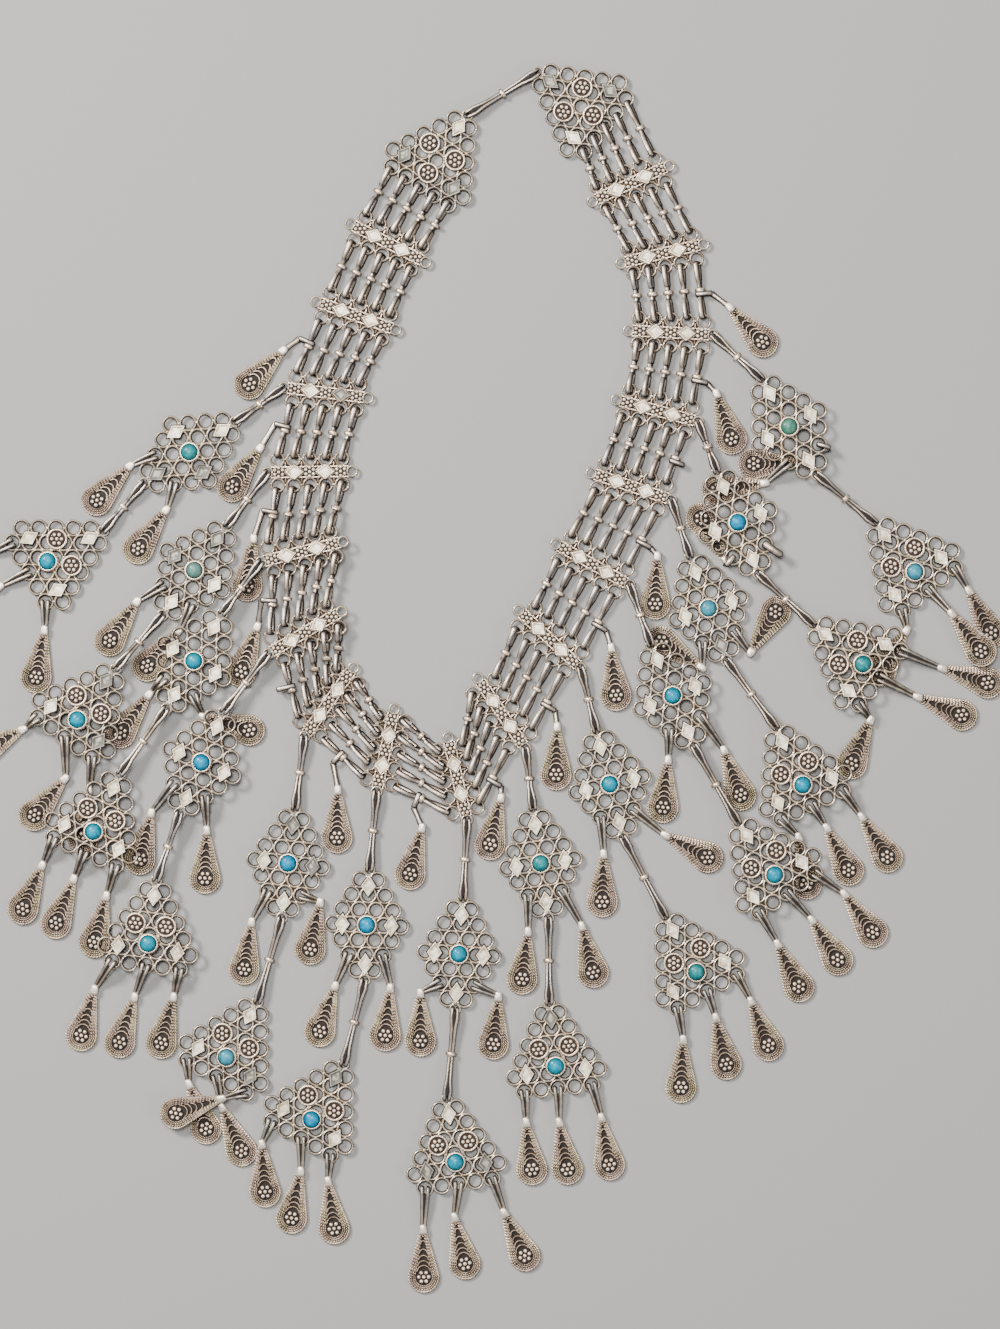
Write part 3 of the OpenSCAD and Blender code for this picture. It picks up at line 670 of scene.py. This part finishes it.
def knot(finish):
    """The bead at a link's waist: a thin bright flange between two small collars."""
    half = KNOT_L / 2
    edge = KNOT_R + 0.3
    side = [(edge - 0.02, half - 0.2), (edge - 0.16, half - 0.02), (0.92, half + 0.02),
            (0.98, half + 0.24), (0.75, half + 0.42)]
    profile = [(r, -u) for r, u in reversed(side)] + [(edge, 0)] + side
    form = lathe(profile, finish, 14, 1.0)
    form.verts = form.verts[:, [2, 0, 1]]
    form.verts[:, 2] = np.maximum(form.verts[:, 2] * 0.82, -1.4) + LINK_H / 2
    radius = np.hypot(form.verts[:, 1], form.verts[:, 2] - LINK_H / 2)
    # Painted light: lighter where the surface faces up; the collars get painted shade and the flange a
    # painted highlight
    form.tone = 0.5 + 0.5 * (form.verts[:, 2] - LINK_H / 2) / np.maximum(radius, 0.3)
    form.tone *= np.where(np.abs(form.verts[:, 0]) > half, 0.76, 1.05)
    return form


KNOT = knot(BRIGHT)


def link(p, q, za, zb, past, doubled):
    """A two-loop link through holes at p and q."""
    d = q - p
    gap = np.linalg.norm(d)
    half = gap / 2 + past + LINK_WIRE
    foot = foot_of(gap)
    if doubled:
        one = strand(half, foot, 0.52, 0.5, 0.72, 0.46, LINK)
        # A dark wire between the two strands stands for painted shade in the gap between them
        inside = strand(half - 1.0, foot, 0.75, 0.3, 0, 0, DEEP_PAINTED_SHADE, 0.2).dimmed(INSIDE_SHADE)
        halves = [one, mirrored(one, 1), inside]
    else:
        halves = [strand(half, foot, 0.92, 0.66, 0, 0, LINK)]
    form = joined(halves + [mirrored(h, 0) for h in halves])
    if not doubled:
        form.verts[:, 1] += ROLL * (form.verts[:, 2] - LINK_H / 2) * (1 if d[1] > 0 else -1)
    form = joined([form, KNOT])
    form.verts[:, 2] += lean_of(form.verts[:, 0], foot, za, zb)
    return form.at(*((p + q) / 2), turn=turn_of(d))


def bar_ring(i, k, side):
    return spot(BARS[i], (k * BAR_PITCH, side * BAR_ROW))


def cell_from(c, k):
    """The ring from which link k of a cell starts."""
    if c == 1:
        return spot(ENDS[0], ((BASE_ROW - STONE_ROW) * ROW_STEP, -k * PITCH))
    return bar_ring(c - 2, k, 1)


def cell_to(c, k):
    """The ring at which link k of a cell ends."""
    if c == CELLS:
        return spot(ENDS[1], ((BASE_ROW - STONE_ROW) * ROW_STEP, k * PITCH))
    return bar_ring(c - 1, k, -1)


def rises(c):
    """Rise of the pieces at both ends of a cell."""
    return (0 if c == 1 else BARS[c - 2][3]), (0 if c == CELLS else BARS[c - 1][3])


def band_links(first, last):
    forms = []
    for c in range(first, last + 1):
        za, zb = rises(c)
        for k in range(-2, 3):
            p, q = cell_from(c, k), cell_to(c, k)
            past = max(min((LINK_REACH - np.linalg.norm(q - p)) / 2, SLACK), -SLACK)
            forms.append(link(p, q, za, zb, past, False))
    return joined(forms)


def pendant_links():
    forms = []
    for bar, diamond, triangle in zip(BARS[FIRST_CHAIN:], DIAMONDS, TRIANGLES):
        forms.append(link(spot(bar, (BAR_EYE, 0)), spot(diamond, (-DIAMOND_TIP, 0)),
                          bar[3], diamond[3], SNUG, True))
        forms.append(link(spot(diamond, (DIAMOND_TIP, 0)), spot(triangle, (TRIANGLE_TIP, 0)),
                          diamond[3], triangle[3], SNUG, True))
    return joined(forms)


def waist(c):
    """Place, outward direction and rise of the waist of a cell's outermost link."""
    p, q = cell_from(c, 2), cell_to(c, 2)
    gap = np.linalg.norm(q - p)
    d = (q - p) / gap
    rise = lean_of(-WAIST_OFF, foot_of(gap), *rises(c))
    return (p + q) / 2 - d * WAIST_OFF, np.array([d[1], -d[0]]), float(rise)


def loop(p, d, z, back, reach, finish, half_width=0.8):
    """A plain upright wire loop that leaves p along d."""
    lo, hi = -back + LOOP_WIRE, reach - back - LOOP_WIRE
    low, high = LOOP_WIRE, LINK_H - LOOP_WIRE
    rail = [(lo + 0.35, low), (hi - 0.35, low), (hi - 0.08, low + 0.12), (hi, low + 0.5),
            (hi, high - 0.5), (hi - 0.08, high - 0.12), (hi - 0.35, high), (lo + 0.35, high),
            (lo + 0.08, high - 0.12), (lo, high - 0.5), (lo, low + 0.5), (lo + 0.08, low + 0.12)]
    path = [(u, 0, v) for u, v in reversed(rail)]
    form = tube(path, (0, 1, 0), 0.36, half_width, finish, closed=True)
    return form.at(*p, z, turn_of(d))


def outline(inset, tip_y):
    """Half the drop's outline, inset, from the cap at the origin to the foot."""
    radius = DROP_R + FOOT_SWELL - inset
    start = np.array([1.15, tip_y])
    reach = start - (DROP_CENTRE, 0)
    far = np.linalg.norm(reach)
    turn = math.atan2(reach[1], reach[0]) - math.acos(radius / far)
    touch = np.array([DROP_CENTRE + radius * math.cos(turn), radius * math.sin(turn)])
    flank = [start + (touch - start) * t for t in np.linspace(0, 1, 7)[:-1]]
    arc = [(DROP_CENTRE + radius * math.cos(a), radius * math.sin(a)) for a in np.linspace(turn, 0, 14)]
    return np.array(flank + arc)


def whole(half):
    """Both halves of an outline, anticlockwise from the cap's right side."""
    return np.vstack([half * (1, -1), half[-2::-1]])


def recess_half(x):
    """Half the width of the drop's recess."""
    share = (x - RECESS_FROM) / (DROP_CENTRE - RECESS_FROM)
    return 0.3 + 2.3 * max(min(share, 1), 0) ** 0.85


def rounded_square(width, length):
    angle = 2 * math.pi * np.arange(16) / 16
    c, s = np.cos(angle), np.sin(angle)
    reach = (np.abs(c) ** 4 + np.abs(s) ** 4) ** (-1 / 4)
    return np.stack([length / 2 * c * reach, width / 2 * s * reach], axis=1)


def drop_form():
    """The filigree drop with its cap at the origin and its round end along +X."""
    forms = []
    outer = whole(outline(*DROP_RIMS[0][:2]))
    run = np.append(0, np.cumsum(np.linalg.norm(np.diff(outer, axis=0), axis=1)))
    for inset, tip_y, across, high, z in DROP_RIMS:
        points = whole(outline(inset, tip_y))
        path = np.column_stack([points, np.full(len(points), z)])
        forms.append(tube(path, UP, across, high, DROP, sides=7, run=run))
    # The outer rim gets a painted highlight
    forms[0].tone *= RIM_PAINTED_HIGHLIGHT
    edge = whole(outline(0.25, 0.8))
    forms.append(loft([(edge, 0.0), (edge, 0.25)], BAIL, [0.88, 0.7]))
    # The dark bed inside the rims is painted shade with patina in the recess
    edge = whole(outline(0.8, 0.6))
    forms.append(loft([(edge, 0.2), (edge, 0.45)], DEEP_PAINTED_SHADE, [0.3, 0.5]))
    for x in ARCHES:
        w = recess_half(x + 0.8)
        bend = np.radians(np.linspace(-80, 80, 9))
        path = np.column_stack([x + (0.4 + 0.85 * w) * (1 - np.cos(bend)), w * np.sin(bend),
                                np.full(9, 0.85)])
        forms.append(tube(path, UP, *ARCH_WIRE, ARCH, sides=6))
    forms.append(flower(*DROP_FLOWER, 0.85).at(DROP_CENTRE - 0.1))
    # The cap is painted darker at its foot and lighter on top
    shapes = [(0.88, 0.0), (1.0, 0.3), (1.0, CAP_H - 0.4), (0.9, CAP_H - 0.1), (0.66, CAP_H)]
    block = rounded_square(CAP_W, 3.3)
    block = np.column_stack([block[:, 0] + 0.25, block[:, 1] * (0.9 + 0.08 * block[:, 0])])
    forms.append(loft([(scaled(block, f), z) for f, z in shapes], CAP, [0.2, 0.4, 0.8, 1.0, 1.0]))
    forms.append(tube([(0.9, 0, 0.95), (2.6, 0, 0.9)], UP, 0.55, 0.4, DROP, sides=6))
    return joined(forms)


DROP_BODY = drop_form()


def drop_at(cap, z, turn):
    """A drop of its own shade, a little darker towards the photograph's right."""
    fade = np.clip((cap[0] - 20) / 60, 0, 1)
    wave = math.sin(0.31 * cap[0] + 0.17 * cap[1])
    return DROP_BODY.dimmed(0.985 - 0.035 * fade + 0.02 * wave).at(*cap, z, turn)


def bail(p, q, za, zb):
    """Two wires side by side that come from the cap at q over the rim, through the hole and back."""
    d = q - p
    far = np.linalg.norm(d)
    grip = far - BAIL_GRIP
    slope = min(3.4, far - CAP_W - 0.4)
    cap_z = zb + CAP_H / 2
    high, low = za + LINK_H - LOOP_WIRE, za + LOOP_WIRE
    back = -BAIL_BACK + LOOP_WIRE
    rail = [(far, cap_z + 0.2), (grip, cap_z + 0.28), (slope, high - 0.05), (slope - 1.2, high),
            (back + 0.6, high), (back + 0.2, high - 0.12), (back, high - 0.5)]
    rail += [(back, low + 0.5), (back + 0.2, low + 0.12), (back + 0.6, low), (slope - 1.2, low),
             (slope, low + 0.05), (grip, cap_z - 0.28), (far, cap_z - 0.2)]
    rail = np.array(rail)
    reach = np.clip((grip - rail[:, 0]) / max(grip, 0.1), 0, 1)
    path = np.column_stack([rail[:, 0], 0.52 + 0.46 * reach, rail[:, 1]])
    one = tube(path, (0, 1, 0), 0.34, 0.5 + 0.08 * reach, BAIL, sides=8)
    # A dark wire between the two wires stands for painted shade in the gap between them
    inner = np.column_stack([rail[:4, 0], np.zeros(4), rail[:4, 1] - 0.1])
    inner = tube(inner, (0, 1, 0), 0.15, (0.4, 0.5, 0.6, 0.6), DEEP_PAINTED_SHADE, sides=6).dimmed(INSIDE_SHADE)
    return joined([one, mirrored(one, 1), inner]).at(*p, 0, turn_of(d))


def hung_drop(row, hole, za):
    """A drop and its bail, which goes through a plaque's ring."""
    cap = on_plan(row[2], row[3])
    return [drop_at(cap, row[5], row[4]), bail(hole, cap, za, row[5])]


def looped_drop(p, d, z, back, reach, cap, turn):
    """A drop on a plain loop, with an arm from the loop's far end to its cap."""
    start = p + d * (reach - back - LOOP_WIRE)
    run = cap - start
    far = np.linalg.norm(run)
    path = [(0, 0, z + 0.4), (far * 0.5, 0, (z + 0.4) * 0.5 + 0.55), (far, 0, CAP_H / 2)]
    arm = tube(path, (0, 1, 0), 0.45, (1.0, 0.8, 1.0), LINK)
    return [loop(p, d, z, back, reach, LINK), drop_at(cap, 0, turn),
            arm.at(*start, 0, turn_of(run))]


def drop_hole(row):
    return spot(DIAMONDS[row[0] - 1], (DROP_ROW * ROW_STEP, row[1] * PITCH))


def diamond_drops(first, last):
    forms = []
    for row in DIAMOND_DROPS:
        if first <= row[0] <= last:
            forms += hung_drop(row, drop_hole(row), DIAMONDS[row[0] - 1][3])
    for row in TURNED_DROPS:
        if first <= row[0] <= last:
            forms += looped_drop(drop_hole(row), heading(row[5]), DIAMONDS[row[0] - 1][3], BAIL_BACK,
                                 RIM_REACH, on_plan(row[2], row[3]), row[4])
    return joined(forms)


def triangle_drops(first, last):
    forms = []
    for row in TRIANGLE_DROPS:
        if first <= row[0] <= last:
            base = TRIANGLES[row[0] - 1]
            hole = spot(base, ((BASE_ROW - STONE_ROW) * ROW_STEP, row[1] * 2 * PITCH))
            forms += hung_drop(row, hole, base[3])
    return joined(forms)


def band_drops():
    forms = []
    for cell, x, y, turn in BAND_DROPS:
        p, d, z = waist(cell)
        forms += looped_drop(p, d, z, LOOP_BACK, HANG_REACH, on_plan(x, y), turn)
    return joined(forms)


def side_loops():
    forms = []
    for cell, reach in BARE_LOOPS:
        p, d, z = waist(cell)
        forms.append(loop(p, d, z, LOOP_BACK, reach, LINK))
    for row in BARE_BAILS:
        forms.append(loop(drop_hole(row), heading(row[2]), DIAMONDS[row[0] - 1][3], BAIL_BACK,
                          row[3], BAIL, 1.2))
    return joined(forms)


def new_material(name):
    material = bpy.data.materials.new(name)
    material.use_nodes = True
    nodes = material.node_tree.nodes
    return material, nodes, material.node_tree.links, nodes["Principled BSDF"]


def noise(nodes, links, scale, detail=3.0):
    place = nodes.new("ShaderNodeTexCoord")
    texture = nodes.new("ShaderNodeTexNoise")
    texture.inputs["Scale"].default_value = scale
    texture.inputs["Detail"].default_value = detail
    links.new(place.outputs["Object"], texture.inputs["Vector"])
    return texture.outputs["Fac"]


def ramp(nodes, links, factor, stops):
    """A colour ramp with stops of (place, colour)."""
    node = nodes.new("ShaderNodeValToRGB")
    links.new(factor, node.inputs["Fac"])
    elements = node.color_ramp.elements
    while len(elements) < len(stops):
        elements.new(0.5)
    for element, (place, colour) in zip(elements, stops):
        element.position = place
        element.color = (*colour, 1)
    return node.outputs["Color"]


def math_node(nodes, links, operation, *values):
    node = nodes.new("ShaderNodeMath")
    node.operation = operation
    for socket, value in zip(node.inputs, values):
        if isinstance(value, (int, float)):
            socket.default_value = value
        else:
            links.new(value, socket)
    return node.outputs[0]


def tinted(nodes, links, colour, factor, amount=1.0):
    """One colour multiplied by another."""
    mix = nodes.new("ShaderNodeMix")
    mix.data_type = "RGBA"
    mix.blend_type = "MULTIPLY"
    mix.inputs["Factor"].default_value = amount
    links.new(colour, mix.inputs["A"])
    links.new(factor, mix.inputs["B"])
    return mix.outputs["Result"]


def silver(name, stops, rough, pits, metallic, twist=0.0, mottle=0.5, patina=None):
    """Worked silver coloured by painted light: painted shade below and in the grooves, a painted
    highlight on the crests, cloudy mottling and patina where given, with fine pits.
    """
    material, nodes, links, shader = new_material(name)
    tone = nodes.new("ShaderNodeAttribute")
    tone.attribute_name = "tone"
    cloud = noise(nodes, links, CLOUD_SCALE)
    grain = noise(nodes, links, PIT_SCALE, 2.0)
    level = math_node(nodes, links, "MULTIPLY_ADD", cloud, mottle, tone.outputs["Fac"])
    level = math_node(nodes, links, "SUBTRACT", level, mottle / 2)
    height = grain
    if twist:
        uv = nodes.new("ShaderNodeUVMap")
        uv.uv_map = "twist"
        split = nodes.new("ShaderNodeSeparateXYZ")
        links.new(uv.outputs["UV"], split.inputs["Vector"])
        phase = math_node(nodes, links, "ADD", split.outputs["X"], split.outputs["Y"])
        wave = math_node(nodes, links, "SINE", math_node(nodes, links, "MULTIPLY", phase, 4 * math.pi))
        # The twist shows as painted shade in its grooves and painted light on its ridges, besides its
        # relief
        level = math_node(nodes, links, "MULTIPLY_ADD", wave, TWIST_PAINTED_SHADE * twist, level)
        height = math_node(nodes, links, "MULTIPLY_ADD", wave, TWIST_RELIEF * twist, grain)
    colour = ramp(nodes, links, level, stops)
    if patina:
        dull, clean, low, high = patina
        patch = ramp(nodes, links, noise(nodes, links, PATCH_SCALE, 2.0), [(low, dull), (high, clean)])
        colour = tinted(nodes, links, colour, patch)
    links.new(colour, shader.inputs["Base Color"])
    shader.inputs["Metallic"].default_value = metallic
    gloss = math_node(nodes, links, "MULTIPLY_ADD", cloud, CLOUD_GLOSS, rough - 0.12)
    links.new(gloss, shader.inputs["Roughness"])
    bump = nodes.new("ShaderNodeBump")
    bump.inputs["Strength"].default_value = pits
    bump.inputs["Distance"].default_value = RELIEF_M
    links.new(height, bump.inputs["Height"])
    links.new(bump.outputs["Normal"], shader.inputs["Normal"])
    return material


# Columns: dull and clean tint, and the levels between which they change
GREY_TO_WARM = ((0.88, 0.88, 0.90), (1.0, 0.95, 0.84), 0.38, 0.62)
PINK_TO_STRAW = ((0.98, 0.87, 0.85), (1.0, 0.97, 0.79), 0.38, 0.62)
CLOUDED = ((0.72, 0.71, 0.66), (1.0, 1.0, 1.0), 0.38, 0.5)
# In the order of their places above. Each ramp runs from painted shade, where the painted light is low,
# to a painted highlight on the crests
FINISHES = [
    silver("filigree wire", [(0.48, (0.013, 0.0075, 0.0048)), (0.74, (0.11, 0.080, 0.060)),
                             (0.94, (1.0, 0.87, 0.71))],
           rough=0.3, pits=0.3, metallic=0.6, twist=0.25, mottle=0.32, patina=GREY_TO_WARM),
    silver("bright plate", [(0.35, (0.036, 0.019, 0.011)), (0.74, (0.48, 0.365, 0.235)),
                            (1.0, (1.0, 0.905, 0.73))],
           rough=0.34, pits=0.35, metallic=0.22, mottle=0.9, patina=CLOUDED),
    silver("granules", [(0.38, (0.018, 0.009, 0.0055)), (0.72, (0.29, 0.20, 0.14)),
                        (0.93, (1.0, 0.87, 0.72))],
           rough=0.25, pits=0.2, metallic=0.3, mottle=0.3),
    # Dark recess: patina with painted shade in the gaps, hollows and insides
    silver("dark recess painted shade and patina", [(0.1, (0.0045, 0.002, 0.0013)), (0.6, (0.016, 0.0075, 0.0045)),
                           (1.0, (0.050, 0.026, 0.016))],
           rough=0.75, pits=0.5, metallic=0.0),
    silver("link wire", [(0.40, (0.010, 0.0065, 0.005)), (0.77, (0.058, 0.043, 0.037)),
                         (0.97, (0.58, 0.505, 0.45))],
           rough=0.32, pits=0.2, metallic=0.7, mottle=0.16, patina=GREY_TO_WARM),
    silver("drop wire", [(0.48, (0.016, 0.008, 0.005)), (0.79, (0.145, 0.102, 0.075)),
                         (0.99, (0.84, 0.73, 0.615))],
           rough=0.36, pits=0.6, metallic=0.5, twist=1.6, mottle=0.8, patina=PINK_TO_STRAW),
    silver("drop cap", [(0.2, (0.08, 0.055, 0.045)), (0.6, (0.38, 0.32, 0.265)),
                        (1.0, (0.85, 0.755, 0.65))],
           rough=0.34, pits=0.3, metallic=0.6, mottle=0.8),
    silver("cream wire", [(0.42, (0.024, 0.012, 0.0065)), (0.76, (0.28, 0.195, 0.125)),
                          (1.0, (1.0, 0.82, 0.65))],
           rough=0.3, pits=0.3, metallic=0.6, twist=0.3, mottle=0.4),
    silver("ring wall", [(0.1, (0.008, 0.004, 0.0027)), (0.5, (0.036, 0.023, 0.016)),
                         (0.9, (0.145, 0.105, 0.080))],
           rough=0.5, pits=0.3, metallic=0.3, mottle=0.4, patina=GREY_TO_WARM),
    silver("bail wire", [(0.35, (0.016, 0.012, 0.009)), (0.74, (0.098, 0.080, 0.067)),
                         (1.0, (0.50, 0.45, 0.40))],
           rough=0.35, pits=0.3, metallic=0.65, mottle=0.4, patina=GREY_TO_WARM),
    silver("arch wire", [(0.42, (0.020, 0.010, 0.0055)), (0.78, (0.13, 0.08, 0.052)),
                         (1.0, (0.51, 0.40, 0.295))],
           rough=0.34, pits=0.3, metallic=0.45, mottle=0.4),
    silver("dull plate", [(0.35, (0.020, 0.013, 0.009)), (0.74, (0.078, 0.074, 0.060)),
                          (0.96, (0.15, 0.145, 0.118)), (1.0, (0.42, 0.38, 0.32))],
           rough=0.42, pits=0.35, metallic=0.15),
]

# Dark and light colour of each hue of stone
HUES = {
    "blue": ((0.001, 0.175, 0.38), (0.004, 0.35, 0.58)),
    "cyan": ((0.001, 0.19, 0.33), (0.004, 0.37, 0.51)),
    "pale": ((0.03, 0.22, 0.34), (0.08, 0.40, 0.52)),
    "teal": ((0.006, 0.17, 0.20), (0.04, 0.34, 0.37)),
    "green": ((0.05, 0.19, 0.14), (0.12, 0.32, 0.25)),
    "grey": ((0.07, 0.19, 0.17), (0.16, 0.31, 0.28)),
}


def turquoise(name, dark, light):
    """Polished stone: cloudy colour with a few thin dark veins, and painted shade towards its rim."""
    material, nodes, links, shader = new_material(name)
    cloud = noise(nodes, links, STONE_CLOUD_SCALE, 4.0)
    colour = ramp(nodes, links, cloud, [(0.3, dark), (0.7, light)])
    place = nodes.new("ShaderNodeTexCoord")
    veins = nodes.new("ShaderNodeTexVoronoi")
    veins.feature = "DISTANCE_TO_EDGE"
    veins.inputs["Scale"].default_value = VEIN_SCALE
    links.new(place.outputs["Object"], veins.inputs["Vector"])
    thin = ramp(nodes, links, veins.outputs["Distance"],
                [(0.0, (0.55, 0.55, 0.55)), (0.035, (1, 1, 1))])
    colour = tinted(nodes, links, colour, thin, 0.7)
    # Painted shade: the stone is darker towards its rim
    tone = nodes.new("ShaderNodeAttribute")
    tone.attribute_name = "tone"
    rim = ramp(nodes, links, tone.outputs["Fac"], [(0.0, (0.36, 0.31, 0.28)), (0.4, (0.70, 0.67, 0.63)),
                                                   (0.9, (1, 1, 1))])
    links.new(tinted(nodes, links, colour, rim), shader.inputs["Base Color"])
    shader.inputs["Roughness"].default_value = 0.3
    shader.inputs["Specular IOR Level"].default_value = 0.2
    shader.inputs["Coat Weight"].default_value = 0.08
    shader.inputs["Coat Roughness"].default_value = 0.08
    return material


HUE_NAMES = list(HUES)
STONES = [turquoise(f"turquoise {hue}", *HUES[hue]) for hue in HUE_NAMES]


def build(name, form, node, materials=FINISHES):
    """One piece that stands for a node, riding on the necklace's only body."""
    mesh = bpy.data.meshes.new(name)
    faces = [tuple(f) if f[3] >= 0 else tuple(f[:3]) for f in form.faces.tolist()]
    form.verts[:, 2] = np.maximum(form.verts[:, 2], 0)
    mesh.from_pydata((form.verts * MM).tolist(), [], faces)
    for material in materials:
        mesh.materials.append(material)
    mesh.polygons.foreach_set("material_index", form.finish.astype(np.int32))
    mesh.shade_smooth()
    mesh.set_sharp_from_angle(angle=math.radians(SHARP_ANGLE))
    # The painted light goes to the mesh as a point attribute that the finishes read
    tone = mesh.attributes.new("tone", "FLOAT", "POINT")
    tone.data.foreach_set("value", form.tone.astype(np.float32))
    corner = np.arange(4)[None] < np.where(form.faces[:, 3] >= 0, 4, 3)[:, None]
    layer = mesh.uv_layers.new(name="twist")
    layer.data.foreach_set("uv", form.uv[corner].astype(np.float32).ravel())
    piece = bpy.data.objects.new(name, mesh)
    bpy.context.scene.collection.objects.link(piece)
    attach(piece, "root")
    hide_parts(node)


def build_flat(name, node, form, plates, row):
    """A plaque or bar with its lozenges, each bright or dull as in the photograph."""
    dull = DULL_LOZENGES.get(name, ())
    forms = [form]
    for i, (length, width, u, v) in enumerate(plates):
        forms.append(lozenge(length, width, DULL if i in dull else PLATE).at(u, v))
    build(f"{name}_filigree", placed(joined(forms), row), node)


def placed(form, row):
    """A plaque, bar or stone in its place."""
    return form.at(*on_plan(row[0], row[1]), row[3], row[2])


def stones():
    """All cabochons, each with the hue that the photograph shows."""
    arc = np.linspace(0, 1, 7)[:-1]
    rise = STONE_TOP - STONE_EDGE
    radius = (STONE_R ** 2 + rise ** 2) / (2 * rise)
    half = math.asin(STONE_R / radius)
    dome = [(radius * math.sin(half * (1 - t)), STONE_TOP - radius + radius * math.cos(half * (1 - t)))
            for t in arc]
    profile = [(STONE_R - 0.1, STONE_LOW), (STONE_R, STONE_LOW + 0.1)] + dome
    # A stone's painted light: painted shade at its rim, lightest on top
    stone = lathe(profile, 0, 40, [0.0, 0.0, 0.05, 0.2, 0.5, 0.75, 0.92, 1.0])
    stone.verts[-1, 2] = STONE_TOP
    forms = []
    for row in DIAMONDS + TRIANGLES:
        form = placed(stone, row)
        form.finish[:] = HUE_NAMES.index(row[4])
        forms.append(form)
    return joined(forms)


def light(name, place, size, power, colour):
    """A rectangular softbox that aims at the middle of the necklace."""
    data = bpy.data.lights.new(name, "AREA")
    data.shape = "RECTANGLE"
    data.size, data.size_y = size
    data.energy = power
    data.color = colour
    lamp = bpy.data.objects.new(name, data)
    lamp.location = place
    lamp.rotation_euler = (-Vector(place)).to_track_quat("-Z", "Y").to_euler()
    bpy.context.scene.collection.objects.link(lamp)


def studio():
    """Pale floor, soft light and a camera that looks straight down on the photograph's frame."""
    bpy.ops.mesh.primitive_plane_add(size=4.0, location=(0, 0, 0))
    floor = bpy.context.object
    floor.name = "floor"
    paper, _, _, shader = new_material("pale floor")
    shader.inputs["Base Color"].default_value = (0.36, 0.356, 0.348, 1)
    shader.inputs["Roughness"].default_value = 0.9
    floor.data.materials.append(paper)

    world = bpy.data.worlds.new("studio")
    world.use_nodes = True
    sky = world.node_tree.nodes["Background"]
    sky.inputs["Color"].default_value = (0.93, 0.95, 1.0, 1)
    sky.inputs["Strength"].default_value = 0.16
    bpy.context.scene.world = world
    light("softbox above", (-0.15, 0.3, 1.6), (0.5, 0.5), 26, (1.0, 0.97, 0.93))
    light("softbox left", (-1.0, 0.8, 1.1), (0.4, 0.4), 46, (1.0, 0.96, 0.92))
    light("softbox right", (1.2, -0.7, 0.8), (0.5, 0.5), 5.5, (0.93, 0.96, 1.0))

    middle = on_plan(PHOTO_SIZE[0] / 2, PHOTO_SIZE[1] / 2) * MM
    height = PHOTO_SIZE[1] * PLAN_STEP * MM
    distance = 1.25
    sensor = 36
    camera = bpy.data.cameras.new("camera")
    camera.sensor_width = sensor
    camera.lens = sensor * distance / height
    camera.clip_start, camera.clip_end = 0.01, 20
    body = bpy.data.objects.new("camera", camera)
    body.location = (*middle, distance)
    bpy.context.scene.collection.objects.link(body)
    bpy.context.scene.camera = body


studio()

build("clasp_link_wire", link(spot(ENDS[0], (TRIANGLE_TIP, 0)), spot(ENDS[1], (TRIANGLE_TIP, 0)), 0, 0,
                              SNUG, True), "clasp_link")
for side, end_row in zip(("left", "right"), ENDS):
    build_flat(f"end_plaque_{side}", f"end_plaque_{side}", END, TRIANGLE_PLATES, end_row)
BAR_NAMES = ([f"bar_left_{n}" for n in range(1, 9)] + ["bar_middle"]
             + [f"bar_right_{n}" for n in range(8, 0, -1)])
for bar_name, bar_row in zip(BAR_NAMES, BARS):
    build_flat(bar_name, bar_name, BAR, BAR_PLATES, bar_row)
for number, (diamond, triangle) in enumerate(zip(DIAMONDS, TRIANGLES), 1):
    build_flat(f"diamond_{number}", f"diamond_plaque_{number}", DIAMOND, DIAMOND_PLATES, diamond)
    build_flat(f"triangle_{number}", f"triangle_plaque_{number}", TRIANGLE, TRIANGLE_PLATES, triangle)
build("band_links_left_wire", band_links(1, CELLS // 2), "band_links_left")
build("band_links_right_wire", band_links(CELLS // 2 + 1, CELLS), "band_links_right")
build("side_loops_wire", side_loops(), "side_loops")
build("pendant_links_wire", pendant_links(), "pendant_links")
build("cabochons", stones(), "turquoises", STONES)
build("band_drops_filigree", band_drops(), "band_drops")
build("diamond_drops_left_filigree", diamond_drops(1, 7), "diamond_drops_left")
build("diamond_drops_right_filigree", diamond_drops(8, 13), "diamond_drops_right")
build("triangle_drops_left_filigree", triangle_drops(1, 7), "triangle_drops_left")
build("triangle_drops_right_filigree", triangle_drops(8, 13), "triangle_drops_right")
